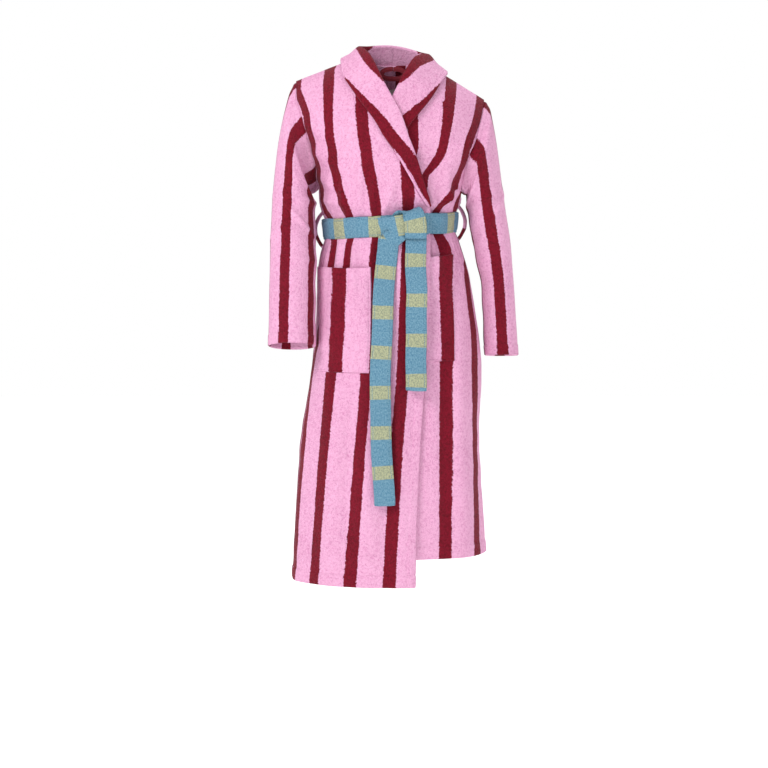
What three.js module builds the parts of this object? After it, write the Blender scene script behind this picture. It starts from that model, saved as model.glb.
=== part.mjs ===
// A towelling wrap bathrobe, as it hangs on its wearer: two front panels that lap over each other, a back,
// two sleeves, a shawl collar in two halves, patch pockets, belt loops and a tied belt of contrast cloth.
//
// Millimetres. +X is the wearer's left, +Y the wearer's back and +Z up. The origin is the middle of the neck
// opening at shoulder level. "Drop" is a distance below that level.
import * as THREE from 'three';

// ---- Cloth and clearances ------------------------------------------------------------------------------
const CLOTH = 4; // one layer of towelling with its pile
const BELT_CLOTH = 5; // the belt is two layers of flat-woven cloth
const SEAM_GAP = 0.5; // between edges that are sewn together
const LAYER_GAP = 1; // between layers that lie on each other
const POCKET_GAP = 4; // between a panel and the turned-in edges of the pocket on it
const LAPEL_GAP = 1.6; // between a front and the lapel on it
const ARMHOLE_GAP = 1.5; // between the armhole and the sleeve that swings in it
const NECK_LIFT = 6; // between a front and the lapel's start at the neck
const LAPEL_THICKNESS = 9; // the turned-over collar, pressed flat

// ---- The body of the robe ------------------------------------------------------------------------------
const ROBE_DROP = 1149; // hem of the outer front
const UNDER_FRONT_DROP = 1088; // hem of the under front
const BACK_HEM_RISE = 59; // the back hem climbs this much from the right side to the left
const CHEST = { drop: 150, width: 430, shift: -3, front: 128, back: 116 };
const RIBS = { drop: 204, width: 363, shift: -3, front: 128, back: 118 };
const WAIST = { drop: 343, width: 291, shift: -2, front: 105, back: 95 };
const HIP = { drop: 465, width: 343, shift: 6, front: 115, back: 125 };
const SEAT = { drop: 642, width: 378, shift: 15, front: 125, back: 135 };
const THIGH = { drop: 860, width: 409, shift: -4, front: 135, back: 125 };
const HEM = { drop: ROBE_DROP, width: 447, shift: -2, front: 145, back: 130 };
const SECTIONS = [CHEST, RIBS, WAIST, HIP, SEAT, THIGH, HEM];
const ARMHOLE_X = 190; // the armholes lie in planes this far out
const SHOULDER = { peak: 63.5, slope: 0.5, tilt: 0.115, middle: 5, back: 12 };
const NECK_HALF = 77; // half the neck opening, measured on the shoulder line
const BACK_NECK_HEIGHT = 18; // lowest point of the back neckline

// ---- The wrap ------------------------------------------------------------------------------------------
const OUTER_EDGE = { waist: 86, hem: 54 }; // X of the outer front's edge
const UNDER_EDGE = -70; // X of the under front's edge
const POCKET_ROOM = 14; // a pocket's mouth stands this far off its panel
// how far the under front lies inside the outer one
const WRAP_SINK = CLOTH + POCKET_ROOM + CLOTH + POCKET_GAP + 2 * LAYER_GAP;
const SINK_FADE = [95, 165]; // X between which the under front comes out to the surface
const SINK_TOP = [0.15, 0.5]; // and shares of the way up the yoke between which it does so

// ---- Collar: roll line and outer edge of each lapel, as [x, z] from the neck down to the waist --------
const ROLL_TOP = 58; // height of the collar's roll at centre back
const RIGHT_ROLL = [[-38, 18], [-11, -41], [25, -109], [54, -196], [80, -300]];
const RIGHT_LAPEL = [[-107, -7], [-76, -61], [-21, -138], [27, -214], [75, -303]];
const LEFT_ROLL = [[54, 25], [27, -9], [2, -59], [-25, -115], [-48, -190], [-68, -300]];
const LEFT_LAPEL = [[122, -11], [91, -59], [55, -105], [22, -150], [-20, -215], [-63, -303]];

// ---- Sleeves: [fraction of the way down, x] of each outer and inner line, and [fraction, y] of the axis --
const SLEEVE_DEPTH = 118; // front to back, at the cuff
const UNDERARM_BEND = 1.3; // how much later the sleeve's inner line comes down than its outer line
const FULL_DEPTH_AT = 0.5; // share of the way down where the sleeve has its cuff's depth
const RIGHT_SLEEVE = {
  side: -1,
  cuffDrop: 615,
  outer: [[0.06, 233], [0.2, 252], [0.5, 268], [1, 275]],
  inner: [[0.12, 186], [0.3, 171], [0.6, 168], [1, 170]],
  axis: [[0.35, -30], [0.7, -60], [1, -65]],
  cuffTilt: 22,
};
const LEFT_SLEEVE = {
  side: 1,
  cuffDrop: 640,
  outer: [[0.05, 216], [0.17, 234], [0.4, 254], [0.6, 272], [1, 290]],
  inner: [[0.3, 193], [0.6, 203], [1, 213]],
  axis: [[0.5, 10], [1, 14]],
  cuffTilt: 10,
};

// ---- Pockets, belt and small parts ---------------------------------------------------------------------
const POCKET = { height: 232, sewn: 0.14, foot: 0.12 }; // sewn edges, as shares of its width and height
const RIGHT_POCKET = { drop: 440, from: -158, to: -44 };
const LEFT_POCKET = { drop: 414, from: 8, to: 136 };
const BELT = { width: 45, drop: 347, tilt: 0.055, gap: 2 };
const LOOP = { height: 84, reach: 18, cloth: 3, width: 13 };
const KNOT = { x: 38, drop: 340, width: 63, height: 72, depth: 26, corner: 14, bevel: 5 };
const TAIL_GAP = 3; // room for a tail to swing below the knot
const LONG_TAIL = { top: -8, bottom: -17, endDrop: 964, standOff: 9 };
const SHORT_TAIL = { top: 54, bottom: 54, endDrop: 710, standOff: 9 };
const HANGER = { width: 62, height: 30, strap: 7, cloth: 2.5, corner: 10, holeCorner: 5, room: 8, below: 4 };
const LABEL = { width: 46, height: 30, cloth: 1, drop: 34, room: 4 };

// ---- Colours -------------------------------------------------------------------------------------------
const PINK = 0xf2b1d5;
const BURGUNDY = 0x8c1a32;
const BELT_BLUE = 0x659bb6;
const LABEL_WHITE = 0xf1eee8;

// ---- Small mathematics ---------------------------------------------------------------------------------
const lerp = THREE.MathUtils.lerp;
const ease = (from, to, value) => THREE.MathUtils.smoothstep(value, from, to);

/** A smooth curve through [at, value] knots in rising order, which never overshoots them. */
function through(knots) {
  const steps = knots.slice(1).map(([at, value], i) => (value - knots[i][1]) / (at - knots[i][0]));
  const slopes = knots.map((knot, i) => {
    if (i === 0 || i === knots.length - 1) return steps[Math.min(i, steps.length - 1)];
    const [before, after] = [steps[i - 1], steps[i]];
    return before * after <= 0 ? 0 : (2 * before * after) / (before + after);
  });
  return (at) => {
    const found = knots.findIndex(([edge]) => edge >= at);
    if (found === 0) return knots[0][1];
    if (found < 0) return knots[knots.length - 1][1];
    const [[a, low], [b, high]] = [knots[found - 1], knots[found]];
    const t = (at - a) / (b - a);
    const rise = (b - a) * (t * (1 - t) ** 2 * slopes[found - 1] - t * t * (1 - t) * slopes[found]);
    return lerp(low, high, t * t * (3 - 2 * t)) + rise;
  };
}

/** The point that a value reaches in a falling list of [value, z] knots, as z falls. */
const alongZ = (knots) => {
  const curve = through(knots.map(([x, z]) => [-z, x]));
  return (z) => curve(-z);
};

// ---- The skin: the outer surface that every piece of the robe is laid on -------------------------------
const sectionCurves = Object.fromEntries(
  ['width', 'shift', 'front', 'back'].map((key) => [key, through(SECTIONS.map((s) => [s.drop, s[key]]))]),
);
const section = (drop) => ({
  half: sectionCurves.width(drop) / 2,
  shift: sectionCurves.shift(drop),
  front: sectionCurves.front(drop),
  back: sectionCurves.back(drop),
});

const shoulderZ = (x) =>
  SHOULDER.peak - SHOULDER.slope * Math.abs(x - SHOULDER.middle) - SHOULDER.tilt * (x - SHOULDER.middle);

/** How far a level tips down towards +X: not at all at the waist, and with the shoulders at the chest. */
const lean = (drop) => SHOULDER.tilt * (1 - ease(CHEST.drop, WAIST.drop, drop));

/** A point of the skin. The angle is 0 on the wearer's left and PI on the right, positive towards the front.
 *  The level is a drop, or, past the chest, -1 to 0 as -(share of the way from chest to shoulder line). */
function skin(angle, level) {
  const rising = level <= 0;
  const drop = rising ? CHEST.drop : level;
  const s = section(drop);
  const x = s.shift + s.half * Math.cos(angle);
  const y = -Math.sin(angle) * (Math.sin(angle) > 0 ? s.front : s.back);
  const z = -drop - lean(drop) * x;
  if (!rising) return new THREE.Vector3(x, y, z);
  const turn = (-level * Math.PI) / 2;
  return new THREE.Vector3(
    x,
    lerp(SHOULDER.back, y, Math.cos(turn)),
    lerp(z, shoulderZ(x), Math.sin(turn)),
  );
}

/** The level at which the skin has height z over x. */
function levelAt(x, z) {
  const chestZ = -CHEST.drop - SHOULDER.tilt * x;
  if (z > chestZ) return -Math.asin(Math.min(1, (z - chestZ) / (shoulderZ(x) - chestZ))) / (Math.PI / 2);
  let drop = -z;
  for (let i = 0; i < 4; i++) drop = Math.max(CHEST.drop, -z - lean(drop) * x);
  return drop;
}

/** The angle at which a level's section has a given x. */
function angleAt(x, level) {
  const s = section(level <= 0 ? CHEST.drop : level);
  return Math.acos(THREE.MathUtils.clamp((x - s.shift) / s.half, -1, 1));
}

/** A point over the front (1) or back (-1) of the skin at x and z, lifted off it. */
function onSkin(facing, x, z, lift) {
  const level = levelAt(x, z);
  return offset(skin, facing * angleAt(x, level), level, lift);
}

/** The outward normal of a surface(u, v) that runs round the body with u and up with v. */
function normalOf(surface, u, v) {
  const [du, dv] = [0.01, v > 0 ? 1 : 0.004];
  const along = surface(u + du, v).sub(surface(u - du, v));
  const up = surface(u, v - dv).sub(surface(u, v + dv));
  return along.cross(up).normalize().negate();
}

const offset = (surface, u, v, lift) => surface(u, v).addScaledVector(normalOf(surface, u, v), lift);

// ---- Closed solids -------------------------------------------------------------------------------------
/** A closed solid from rings of points that all have the same count; the two end rings are capped. */
function loft(rings) {
  const count = rings[0].length;
  const positions = rings.flat().flatMap((p) => [p.x, p.y, p.z]);
  const faces = [];
  for (let i = 0; i + 1 < rings.length; i++) {
    for (let j = 0; j < count; j++) {
      const [a, b] = [i * count + j, i * count + ((j + 1) % count)];
      faces.push(a, b, a + count, b, b + count, a + count);
    }
  }
  const last = (rings.length - 1) * count;
  for (let j = 1; j + 1 < count; j++) {
    faces.push(0, j + 1, j, last, last + j, last + j + 1);
  }
  return finished(positions, faces);
}

/** A closed tube wall between two lists of rings, outer and inner, each running from one end to the other. */
function tubeWall(outer, inner) {
  const loop = [...outer, ...[...inner].reverse()];
  const count = outer[0].length;
  const positions = loop.flat().flatMap((p) => [p.x, p.y, p.z]);
  const faces = [];
  for (let i = 0; i < loop.length; i++) {
    const next = (i + 1) % loop.length;
    for (let j = 0; j < count; j++) {
      const k = (j + 1) % count;
      faces.push(i * count + j, i * count + k, next * count + j);
      faces.push(i * count + k, next * count + k, next * count + j);
    }
  }
  return finished(positions, faces);
}

/** A closed panel from a grid of outer points and the grid of inner points behind them. */
function panelSolid(outer, inner) {
  const [rows, columns] = [outer.length, outer[0].length];
  const rings = outer.map((row, i) => [...row, ...[...inner[i]].reverse()]);
  const count = 2 * columns;
  const positions = rings.flat().flatMap((p) => [p.x, p.y, p.z]);
  const faces = [];
  for (let i = 0; i + 1 < rows; i++) {
    for (let j = 0; j < count; j++) {
      const [a, b] = [i * count + j, i * count + ((j + 1) % count)];
      faces.push(a, b, a + count, b, b + count, a + count);
    }
  }
  const last = (rows - 1) * count;
  for (let j = 0; j + 1 < columns; j++) {
    const [a, b, c, d] = [j, j + 1, count - 2 - j, count - 1 - j];
    faces.push(a, d, b, b, d, c, last + a, last + b, last + d, last + b, last + c, last + d);
  }
  return finished(positions, faces);
}

/** The geometry of a closed solid, turned inside out first if its faces point inwards. */
function finished(positions, faces) {
  const point = (i) => new THREE.Vector3().fromArray(positions, 3 * i);
  let volume = 0;
  for (let i = 0; i < faces.length; i += 3) {
    const [a, b, c] = [point(faces[i]), point(faces[i + 1]), point(faces[i + 2])];
    volume += a.dot(b.cross(c));
  }
  const geometry = new THREE.BufferGeometry();
  geometry.setAttribute('position', new THREE.Float32BufferAttribute(positions, 3));
  geometry.setIndex(volume < 0 ? faces.reverse() : faces);
  geometry.computeVertexNormals();
  return geometry;
}

/** A panel of cloth on the skin. Each level is a number, or a function of the angle where a row isn't level.
 *  edges(level) gives the row's two angles, and lift(x, level) its outer face. */
function clothPanel(levels, columns, edges, lift, shiftY = 0) {
  const face = (depth) =>
    levels.map((level) => {
      const [from, to] = edges(level);
      return Array.from({ length: columns + 1 }, (_, j) => {
        const angle = lerp(from, to, j / columns);
        const at = typeof level === 'function' ? level(angle) : level;
        const x = skin(angle, at).x;
        const point = offset(skin, angle, at, lift(x, at) - depth);
        return point.setY(point.y + shiftY);
      });
    });
  return panelSolid(face(0), face(CLOTH));
}

const spread = (from, to, count) => Array.from({ length: count + 1 }, (_, i) => lerp(from, to, i / count));

// ---- Fronts and back -----------------------------------------------------------------------------------
/** The x of a neckline: it runs behind the lapel's roll, a little nearer the roll as it comes down. */
function neckline(roll, side) {
  const curve = alongZ([[side * NECK_HALF + SHOULDER.middle, shoulderZ(side * NECK_HALF + SHOULDER.middle)],
    ...roll.map(([x, z]) => [x + side * lerp(22, 3, ease(20, -300, z)), z - 2])]);
  return curve;
}

const rightNeckline = neckline(RIGHT_ROLL, -1);
const leftNeckline = neckline(LEFT_ROLL, 1);
const beltTop = (x) => -BELT.drop + BELT.width / 2 + BELT.tilt * x;

const outerEdge = (drop) => lerp(OUTER_EDGE.waist, OUTER_EDGE.hem, ease(WAIST.drop, HEM.drop, drop));

/** Whether a panel's side edge at a level is its armhole and not its side seam. */
const atArmhole = (level) => level < WAIST.drop && section(Math.max(level, CHEST.drop)).half > ARMHOLE_X;

/** The two angles of a front panel at a level: its side seam or armhole, and its front edge or neckline. */
function frontEdges(level, side, necklineX, edgeX) {
  const seam = side < 0 ? Math.PI : 0;
  const outside = atArmhole(level) ? angleAt(side * ARMHOLE_X, level) : seam;
  let x = edgeX(level > 0 ? level : CHEST.drop);
  for (let i = 0; i < 12; i++) {
    const z = skin(angleAt(x, level), level).z;
    x = z > beltTop(0) ? necklineX(z) : edgeX(level);
  }
  return [outside, angleAt(x, level)];
}

const skirtLevels = (hemDrop) => spread(hemDrop, HIP.drop, 9);
const bodiceLevels = [435, 408, 385, 365, WAIST.drop, 321, 298, 272, 240, RIBS.drop, 180, CHEST.drop + 0.01];
const yokeLevels = spread(-0.2, -1, 4);
const frontLevels = (hemDrop) => [...skirtLevels(hemDrop), ...bodiceLevels, ...yokeLevels];

/** How far the under front lies inside the skin; none of the outer front does. */
const sink = (x, level) => -WRAP_SINK * (1 - ease(...SINK_FADE, x)) * (1 - ease(...SINK_TOP, -level));
const onTop = () => 0;

const rightFront = () =>
  clothPanel(
    frontLevels(ROBE_DROP), 12,
    (level) => frontEdges(level, -1, rightNeckline, outerEdge),
    onTop, -SEAM_GAP);

const leftFront = () =>
  clothPanel(
    frontLevels(UNDER_FRONT_DROP), 12,
    (level) => frontEdges(level, 1, leftNeckline, () => UNDER_EDGE),
    sink, -SEAM_GAP);

/** The back panel: its hem climbs to the left, and its top dips under the collar at the neck. */
function backPanel() {
  const hemAt = (angle) => ROBE_DROP - BACK_HEM_RISE * (0.5 + 0.5 * Math.cos(angle));
  const skirt = spread(0, 1, 9).map((t) => (angle) => lerp(hemAt(angle), HIP.drop, t));
  const topAt = (angle) => {
    const x = skin(angle, 0).x;
    const fromMiddle = Math.min(1, Math.abs(x - SHOULDER.middle) / NECK_HALF);
    const dip = lerp(BACK_NECK_HEIGHT, shoulderZ(x), fromMiddle ** 4);
    return fromMiddle < 1 ? levelAt(x, dip) : -1;
  };
  const yoke = spread(0.2, 1, 4).map((t) => (angle) => t * topAt(angle));
  const plain = bodiceLevels.map((level) => () => level);
  const edges = (level) => {
    const at = level(Math.PI / 2);
    return atArmhole(at) ? [-angleAt(ARMHOLE_X, at), -angleAt(-ARMHOLE_X, at)] : [0, -Math.PI];
  };
  return clothPanel([...skirt, ...plain, ...yoke], 20, edges, onTop, SEAM_GAP);
}

// ---- Collar --------------------------------------------------------------------------------------------
/** One half of the shawl collar: a wedge over the neck seam at the back, and a flat lapel down the front. */
function collarHalf(side, roll, lapel, lift) {
  const across = (x) => SHOULDER.middle + side * x;
  // Stations from centre back to the shoulder: seam and outer edge as [x, z], the roll as [y, z] with its
  // distance out from the middle, and how far the underside clears the skin.
  const neck = [
    { facing: -1, seam: [across(SEAM_GAP), 21], edge: [across(SEAM_GAP), -4],
      roll: [60, ROLL_TOP], out: SEAM_GAP, rise: 4 },
    { facing: -1, seam: [across(28), 22], edge: [across(44), -4],
      roll: [56, ROLL_TOP], out: 26, rise: 4 },
    { facing: -1, seam: [across(58), 28], edge: [across(88), shoulderZ(across(88)) - 9],
      roll: [36, ROLL_TOP], out: 50, rise: 5 },
    { facing: 1, seam: [across(NECK_HALF), shoulderZ(across(NECK_HALF)) - 1],
      edge: [across(118), shoulderZ(across(118)) - 1], roll: [8, ROLL_TOP], out: 60, rise: 7 },
  ];
  const tops = neck.map(({ roll: [y, z], out }) => {
    const x = across(out);
    return new THREE.Vector3(x, y, z - SHOULDER.tilt * (x - SHOULDER.middle) * ease(0, 40, out));
  });
  const between = (a, b, t) => [lerp(a[0], b[0], t), lerp(a[1], b[1], t)];
  const sections = neck.map(({ facing, seam, edge, rise }, i) => {
    const under = spread(1, 0, 4).map((t) => onSkin(facing, ...between(seam, edge, t), rise));
    const top = onSkin(facing, ...edge, rise + LAPEL_THICKNESS / 2);
    const crown = tops[i].clone().add(new THREE.Vector3(side * 3, facing < 0 ? 5 : 0, 2));
    return [...under, tops[i], crown, top];
  });
  const rollLine = [0, 1].map((k) => through(roll.map((point, i) => [i, point[k]])));
  const lapelLine = [0, 1].map((k) => through(lapel.map((point, i) => [i, point[k]])));
  spread(0, roll.length - 1, 3 * (roll.length - 1)).forEach((i) => {
    const [r, e] = [rollLine.map((line) => line(i)), lapelLine.map((line) => line(i))];
    const place = (t, height) => {
      const [x, z] = between(r, e, t);
      const settle = lerp(NECK_LIFT, LAPEL_GAP, ease(0, 1.5, i));
      return onSkin(1, x, z, lift(x, levelAt(x, z)) + settle + height);
    };
    sections.push([
      ...spread(1, 0, 4).map((t) => place(t, 0)),
      place(0, LAPEL_THICKNESS / 2), place(0.06, LAPEL_THICKNESS), place(0.97, LAPEL_THICKNESS)]);
  });
  return loft(sections);
}

// ---- Sleeves -------------------------------------------------------------------------------------------
/** The height of the armhole's lowest point: where the body gets as narrow as the armhole planes. */
function armholeDrop() {
  let [low, high] = [CHEST.drop, WAIST.drop];
  for (let i = 0; i < 30; i++) {
    const middle = (low + high) / 2;
    if (section(middle).half > ARMHOLE_X) low = middle;
    else high = middle;
  }
  return low;
}

function sleeve(spec) {
  const start = ARMHOLE_X + ARMHOLE_GAP;
  const x0 = spec.side * ARMHOLE_X;
  const top = shoulderZ(x0);
  const bottom = -armholeDrop() - lean(armholeDrop()) * x0;
  const halfDepth0 = section(CHEST.drop).front * Math.sin(angleAt(x0, 0));
  const outerX = through([[0, start], ...spec.outer]);
  const innerX = through([[0, start], ...spec.inner]);
  const axisY = through([[0, 0], ...spec.axis]);
  const ring = (s, inset) => {
    const a = new THREE.Vector3(spec.side * outerX(s), 0, lerp(top, -spec.cuffDrop, s));
    const b = new THREE.Vector3(spec.side * innerX(s), 0, lerp(bottom, -spec.cuffDrop, s ** UNDERARM_BEND));
    const centre = a.clone().add(b).multiplyScalar(0.5).setY(axisY(s));
    const across = a.clone().sub(b).multiplyScalar(0.5);
    across.setLength(across.length() - inset);
    const depth = lerp(halfDepth0, SLEEVE_DEPTH / 2, ease(0, FULL_DEPTH_AT, s)) - inset;
    const back = new THREE.Vector3(0, depth, (-spec.cuffTilt / 2) * s);
    return spread(0, 2 * Math.PI, 20).slice(0, -1).map((angle) =>
      centre.clone().addScaledVector(across, Math.cos(angle)).addScaledVector(back, Math.sin(angle)));
  };
  const stations = [0, 0.03, 0.07, 0.12, 0.18, 0.26, 0.36, 0.48, 0.62, 0.8, 1];
  return tubeWall(stations.map((s) => ring(s, 0)), stations.map((s) => ring(s, CLOTH)));
}

// ---- Pockets -------------------------------------------------------------------------------------------
/** A patch pocket: sewn down at its sides and bottom, with its mouth standing off the panel. */
function pocket(spec, lift) {
  const rows = spread(0, 1, 8);
  const columns = spread(0, 1, 10);
  const face = (depth) =>
    rows.map((up) => columns.map((along) => {
      const level = lerp(spec.drop + POCKET.height, spec.drop, up);
      const x = lerp(spec.from, spec.to, along);
      const sides = ease(0, POCKET.sewn, along) * ease(0, POCKET.sewn, 1 - along);
      const standOff = POCKET_ROOM * sides * ease(0, POCKET.foot, up);
      const height = lift(x, level) + POCKET_GAP + CLOTH + standOff - depth;
      return offset(skin, angleAt(x, level), level, height);
    }));
  return panelSolid(face(0), face(CLOTH));
}

// ---- Belt ----------------------------------------------------------------------------------------------
function beltBand() {
  const angles = spread(0, 2 * Math.PI, 48).slice(0, -1);
  const ring = (up, lift) => angles.map((angle) => {
    const x = skin(angle, BELT.drop).x;
    const drop = BELT.drop - up - BELT.tilt * x;
    return offset(skin, angle, drop, lift);
  });
  const rows = [-BELT.width / 2, 0, BELT.width / 2];
  return tubeWall(
    rows.map((up) => ring(up, BELT.gap + BELT_CLOTH)),
    rows.map((up) => ring(up, BELT.gap)));
}

function roundedOutline(width, height, corner) {
  const [w, h] = [width / 2 - corner, height / 2 - corner];
  const shape = new THREE.Shape();
  shape.absarc(w, h, corner, 0, Math.PI / 2);
  shape.absarc(-w, h, corner, Math.PI / 2, Math.PI);
  shape.absarc(-w, -h, corner, Math.PI, 1.5 * Math.PI);
  shape.absarc(w, -h, corner, 1.5 * Math.PI, 2 * Math.PI);
  return shape;
}

/** The Y of the knot's back face, just clear of the band all the way up its width. */
const knotBack = () => {
  const inner = KNOT.x - KNOT.width / 2;
  const heights = [-1, 0, 1].map((side) => -BELT.drop + (side * BELT.width) / 2);
  return Math.min(...heights.map((z) => onSkin(1, inner, z, BELT.gap + BELT_CLOTH + LAYER_GAP).y));
};

function knot() {
  const outline = roundedOutline(KNOT.width - 2 * KNOT.bevel, KNOT.height - 2 * KNOT.bevel, KNOT.corner);
  const geometry = new THREE.ExtrudeGeometry(outline, {
    depth: KNOT.depth - 2 * KNOT.bevel, bevelThickness: KNOT.bevel, bevelSize: KNOT.bevel,
    bevelSegments: 2, curveSegments: 4,
  });
  geometry.rotateX(Math.PI / 2);
  geometry.translate(KNOT.x, knotBack() - KNOT.bevel, -KNOT.drop);
  return geometry;
}

const knotBottom = -KNOT.drop - KNOT.height / 2;

/** A tail of the belt: a straight strip from just below the knot, lying in front of the skirt. */
function tail(spec) {
  const topZ = knotBottom - TAIL_GAP;
  const place = (z, x) => onSkin(1, x, z, spec.standOff).y;
  const top = new THREE.Vector3(spec.top, Math.min(knotBack() - 3, place(topZ, spec.top)), topZ);
  const end = new THREE.Vector3(spec.bottom, 0, -spec.endDrop);
  end.y = place(end.z, end.x) - LAYER_GAP;
  const run = end.clone().sub(top).normalize();
  const across = new THREE.Vector3(1, 0, 0).cross(run).cross(run).negate().setLength(BELT.width / 2);
  const out = run.clone().cross(across).setLength(BELT_CLOTH / 2);
  const ring = (centre) => [[-1, -1], [1, -1], [1, 1], [-1, 1]].map(([a, b]) =>
    centre.clone().addScaledVector(across, a).addScaledVector(out, b));
  return loft(spread(0, 1, 6).map((t) => ring(top.clone().lerp(end, t))));
}

/** A belt loop on a side seam: a flat strap that arches away from the body. */
function beltLoop(side) {
  const half = LOOP.height / 2;
  const ends = [BELT.drop - half, BELT.drop, BELT.drop + half].map((drop) => {
    const s = section(drop - BELT.tilt * side * WAIST.width / 2);
    return side * s.shift + s.half;
  });
  const shape = new THREE.Shape();
  shape.absellipse(0, 0, LOOP.reach, half, -Math.PI / 2, Math.PI / 2);
  shape.absellipse(0, 0, LOOP.reach - LOOP.cloth, half - LOOP.cloth, Math.PI / 2, -Math.PI / 2, true);
  const geometry = new THREE.ExtrudeGeometry(shape, {
    depth: LOOP.width, bevelEnabled: false, curveSegments: 10,
  });
  geometry.translate(0, 0, -LOOP.width / 2);
  geometry.rotateX(Math.PI / 2);
  if (side < 0) geometry.rotateZ(Math.PI);
  const z = -BELT.drop + BELT.tilt * side * WAIST.width / 2;
  geometry.translate(side * (Math.max(...ends) + LAYER_GAP), 0, z);
  return geometry;
}

// ---- Inside the back neck ------------------------------------------------------------------------------
/** The loop that the robe is hung up by: a U of narrow strap, its two ends at the back neck seam. */
function hangingLoop() {
  const { width, height, strap, corner } = HANGER;
  const outline = roundedOutline(width, height, corner);
  const hole = roundedOutline(width - 2 * strap, height - 2 * strap, HANGER.holeCorner);
  outline.holes.push(hole);
  const geometry = new THREE.ExtrudeGeometry(outline, {
    depth: HANGER.cloth, bevelEnabled: false, curveSegments: 4,
  });
  geometry.rotateX(Math.PI / 2);
  const y = skin(-Math.PI / 2, levelAt(SHOULDER.middle, BACK_NECK_HEIGHT)).y - CLOTH - HANGER.cloth;
  geometry.translate(SHOULDER.middle, y - HANGER.room, BACK_NECK_HEIGHT - height / 2 - HANGER.below);
  return geometry;
}

function careLabel() {
  const geometry = new THREE.BoxGeometry(LABEL.width, LABEL.cloth, LABEL.height);
  const z = -LABEL.drop - LABEL.height / 2;
  const y = skin(-Math.PI / 2, levelAt(SHOULDER.middle, z + LABEL.height / 2)).y - CLOTH - LAYER_GAP;
  geometry.translate(SHOULDER.middle, y - LABEL.cloth - LABEL.room, z);
  return geometry;
}

// ---- The assembly --------------------------------------------------------------------------------------
const robe = new THREE.Group();

function add(name, geometry, color, roughness = 0.95) {
  const material = new THREE.MeshStandardMaterial({ color, roughness, metalness: 0 });
  const mesh = new THREE.Mesh(geometry, material);
  mesh.name = name;
  robe.add(mesh);
}

add('back_panel', backPanel(), PINK);
add('right_front_panel', rightFront(), PINK);
add('left_front_panel', leftFront(), PINK);
add('right_sleeve', sleeve(RIGHT_SLEEVE), PINK);
add('left_sleeve', sleeve(LEFT_SLEEVE), PINK);
add('right_collar_half', collarHalf(-1, RIGHT_ROLL, RIGHT_LAPEL, onTop), PINK);
add('left_collar_half', collarHalf(1, LEFT_ROLL, LEFT_LAPEL, sink), PINK);
add('right_pocket', pocket(RIGHT_POCKET, onTop), PINK);
add('left_pocket', pocket(LEFT_POCKET, sink), PINK);
add('right_belt_loop', beltLoop(-1), PINK);
add('left_belt_loop', beltLoop(1), PINK);
add('belt_waist_band', beltBand(), BELT_BLUE, 0.85);
add('belt_knot', knot(), BELT_BLUE, 0.85);
add('belt_long_tail', tail(LONG_TAIL), BELT_BLUE, 0.85);
add('belt_short_tail', tail(SHORT_TAIL), BELT_BLUE, 0.85);
add('hanging_loop', hangingLoop(), BURGUNDY);
add('care_label', careLabel(), LABEL_WHITE, 0.6);

export default robe;
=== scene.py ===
"""A towelling wrap bathrobe: striped panels, shawl collar, patch pockets and a tied belt of contrast cloth.

Metres. +X is the wearer's left, +Y the wearer's back and +Z up. The origin is the middle of the neck opening
at shoulder level. A drop is a distance below that level. Every piece is cloth, so each one is a closed sheet
with its own thickness, hems and seams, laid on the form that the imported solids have.
"""

import logging
import math
from dataclasses import dataclass, field
from enum import Enum
from typing import Callable, Sequence

import bpy
import numpy as np
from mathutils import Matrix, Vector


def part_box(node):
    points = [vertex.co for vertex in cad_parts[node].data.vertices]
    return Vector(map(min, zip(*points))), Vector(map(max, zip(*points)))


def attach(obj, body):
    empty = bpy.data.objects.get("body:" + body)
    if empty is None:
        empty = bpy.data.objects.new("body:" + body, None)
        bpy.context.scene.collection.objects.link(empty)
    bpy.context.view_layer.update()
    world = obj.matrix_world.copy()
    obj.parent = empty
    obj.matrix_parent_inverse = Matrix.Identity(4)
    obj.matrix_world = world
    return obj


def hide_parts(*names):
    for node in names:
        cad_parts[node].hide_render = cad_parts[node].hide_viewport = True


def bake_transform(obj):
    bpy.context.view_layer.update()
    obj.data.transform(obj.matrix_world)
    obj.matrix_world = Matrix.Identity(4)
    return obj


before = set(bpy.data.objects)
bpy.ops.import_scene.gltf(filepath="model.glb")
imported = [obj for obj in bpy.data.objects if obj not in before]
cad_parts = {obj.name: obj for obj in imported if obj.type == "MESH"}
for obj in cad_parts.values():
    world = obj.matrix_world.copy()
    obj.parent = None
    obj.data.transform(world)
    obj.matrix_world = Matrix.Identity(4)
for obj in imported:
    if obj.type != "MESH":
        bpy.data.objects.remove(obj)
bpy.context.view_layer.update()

LOG = logging.getLogger("bathrobe")
CLOTH_MAP = "cloth"
MM = 0.001

STRIPE_PERIOD = 0.0855  # from one stripe of the towelling to the next
BY_EDGE = 0.0012  # a row this near an edge rounds it off
BY_STITCH = (-0.0024, -0.0011, 0.0, 0.0011, 0.0024)  # rows that lie close, beside a line of stitching

Array = np.ndarray
Knots = tuple[tuple[float, float], ...]


class Side(Enum):
    """The wearer's right or left, as the sign of X."""

    RIGHT = -1
    LEFT = 1


# ---- Small mathematics ----------------------------------------------------------------------------------
def lerp(low: Array, high: Array, share: Array) -> Array:
    """Returns the value that lies a share of the way from low to high."""
    return low + (high - low) * share


def ease(low: float, high: float, value: Array) -> Array:
    """Returns 0 before low, 1 after high, and a smooth step between them."""
    share = np.clip((np.asarray(value, float) - low) / (high - low), 0.0, 1.0)
    return share * share * (3.0 - 2.0 * share)


def bell(value: Array, middle: float, width: float) -> Array:
    """Returns a hump of height 1 at the middle, which is down to 0.37 a width away from it."""
    return np.exp(-(((np.asarray(value, float) - middle) / width) ** 2))


def unit(vectors: Array) -> Array:
    """Returns the vectors at length 1."""
    return vectors / np.maximum(np.linalg.norm(vectors, axis=-1, keepdims=True), 1e-9)


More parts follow.
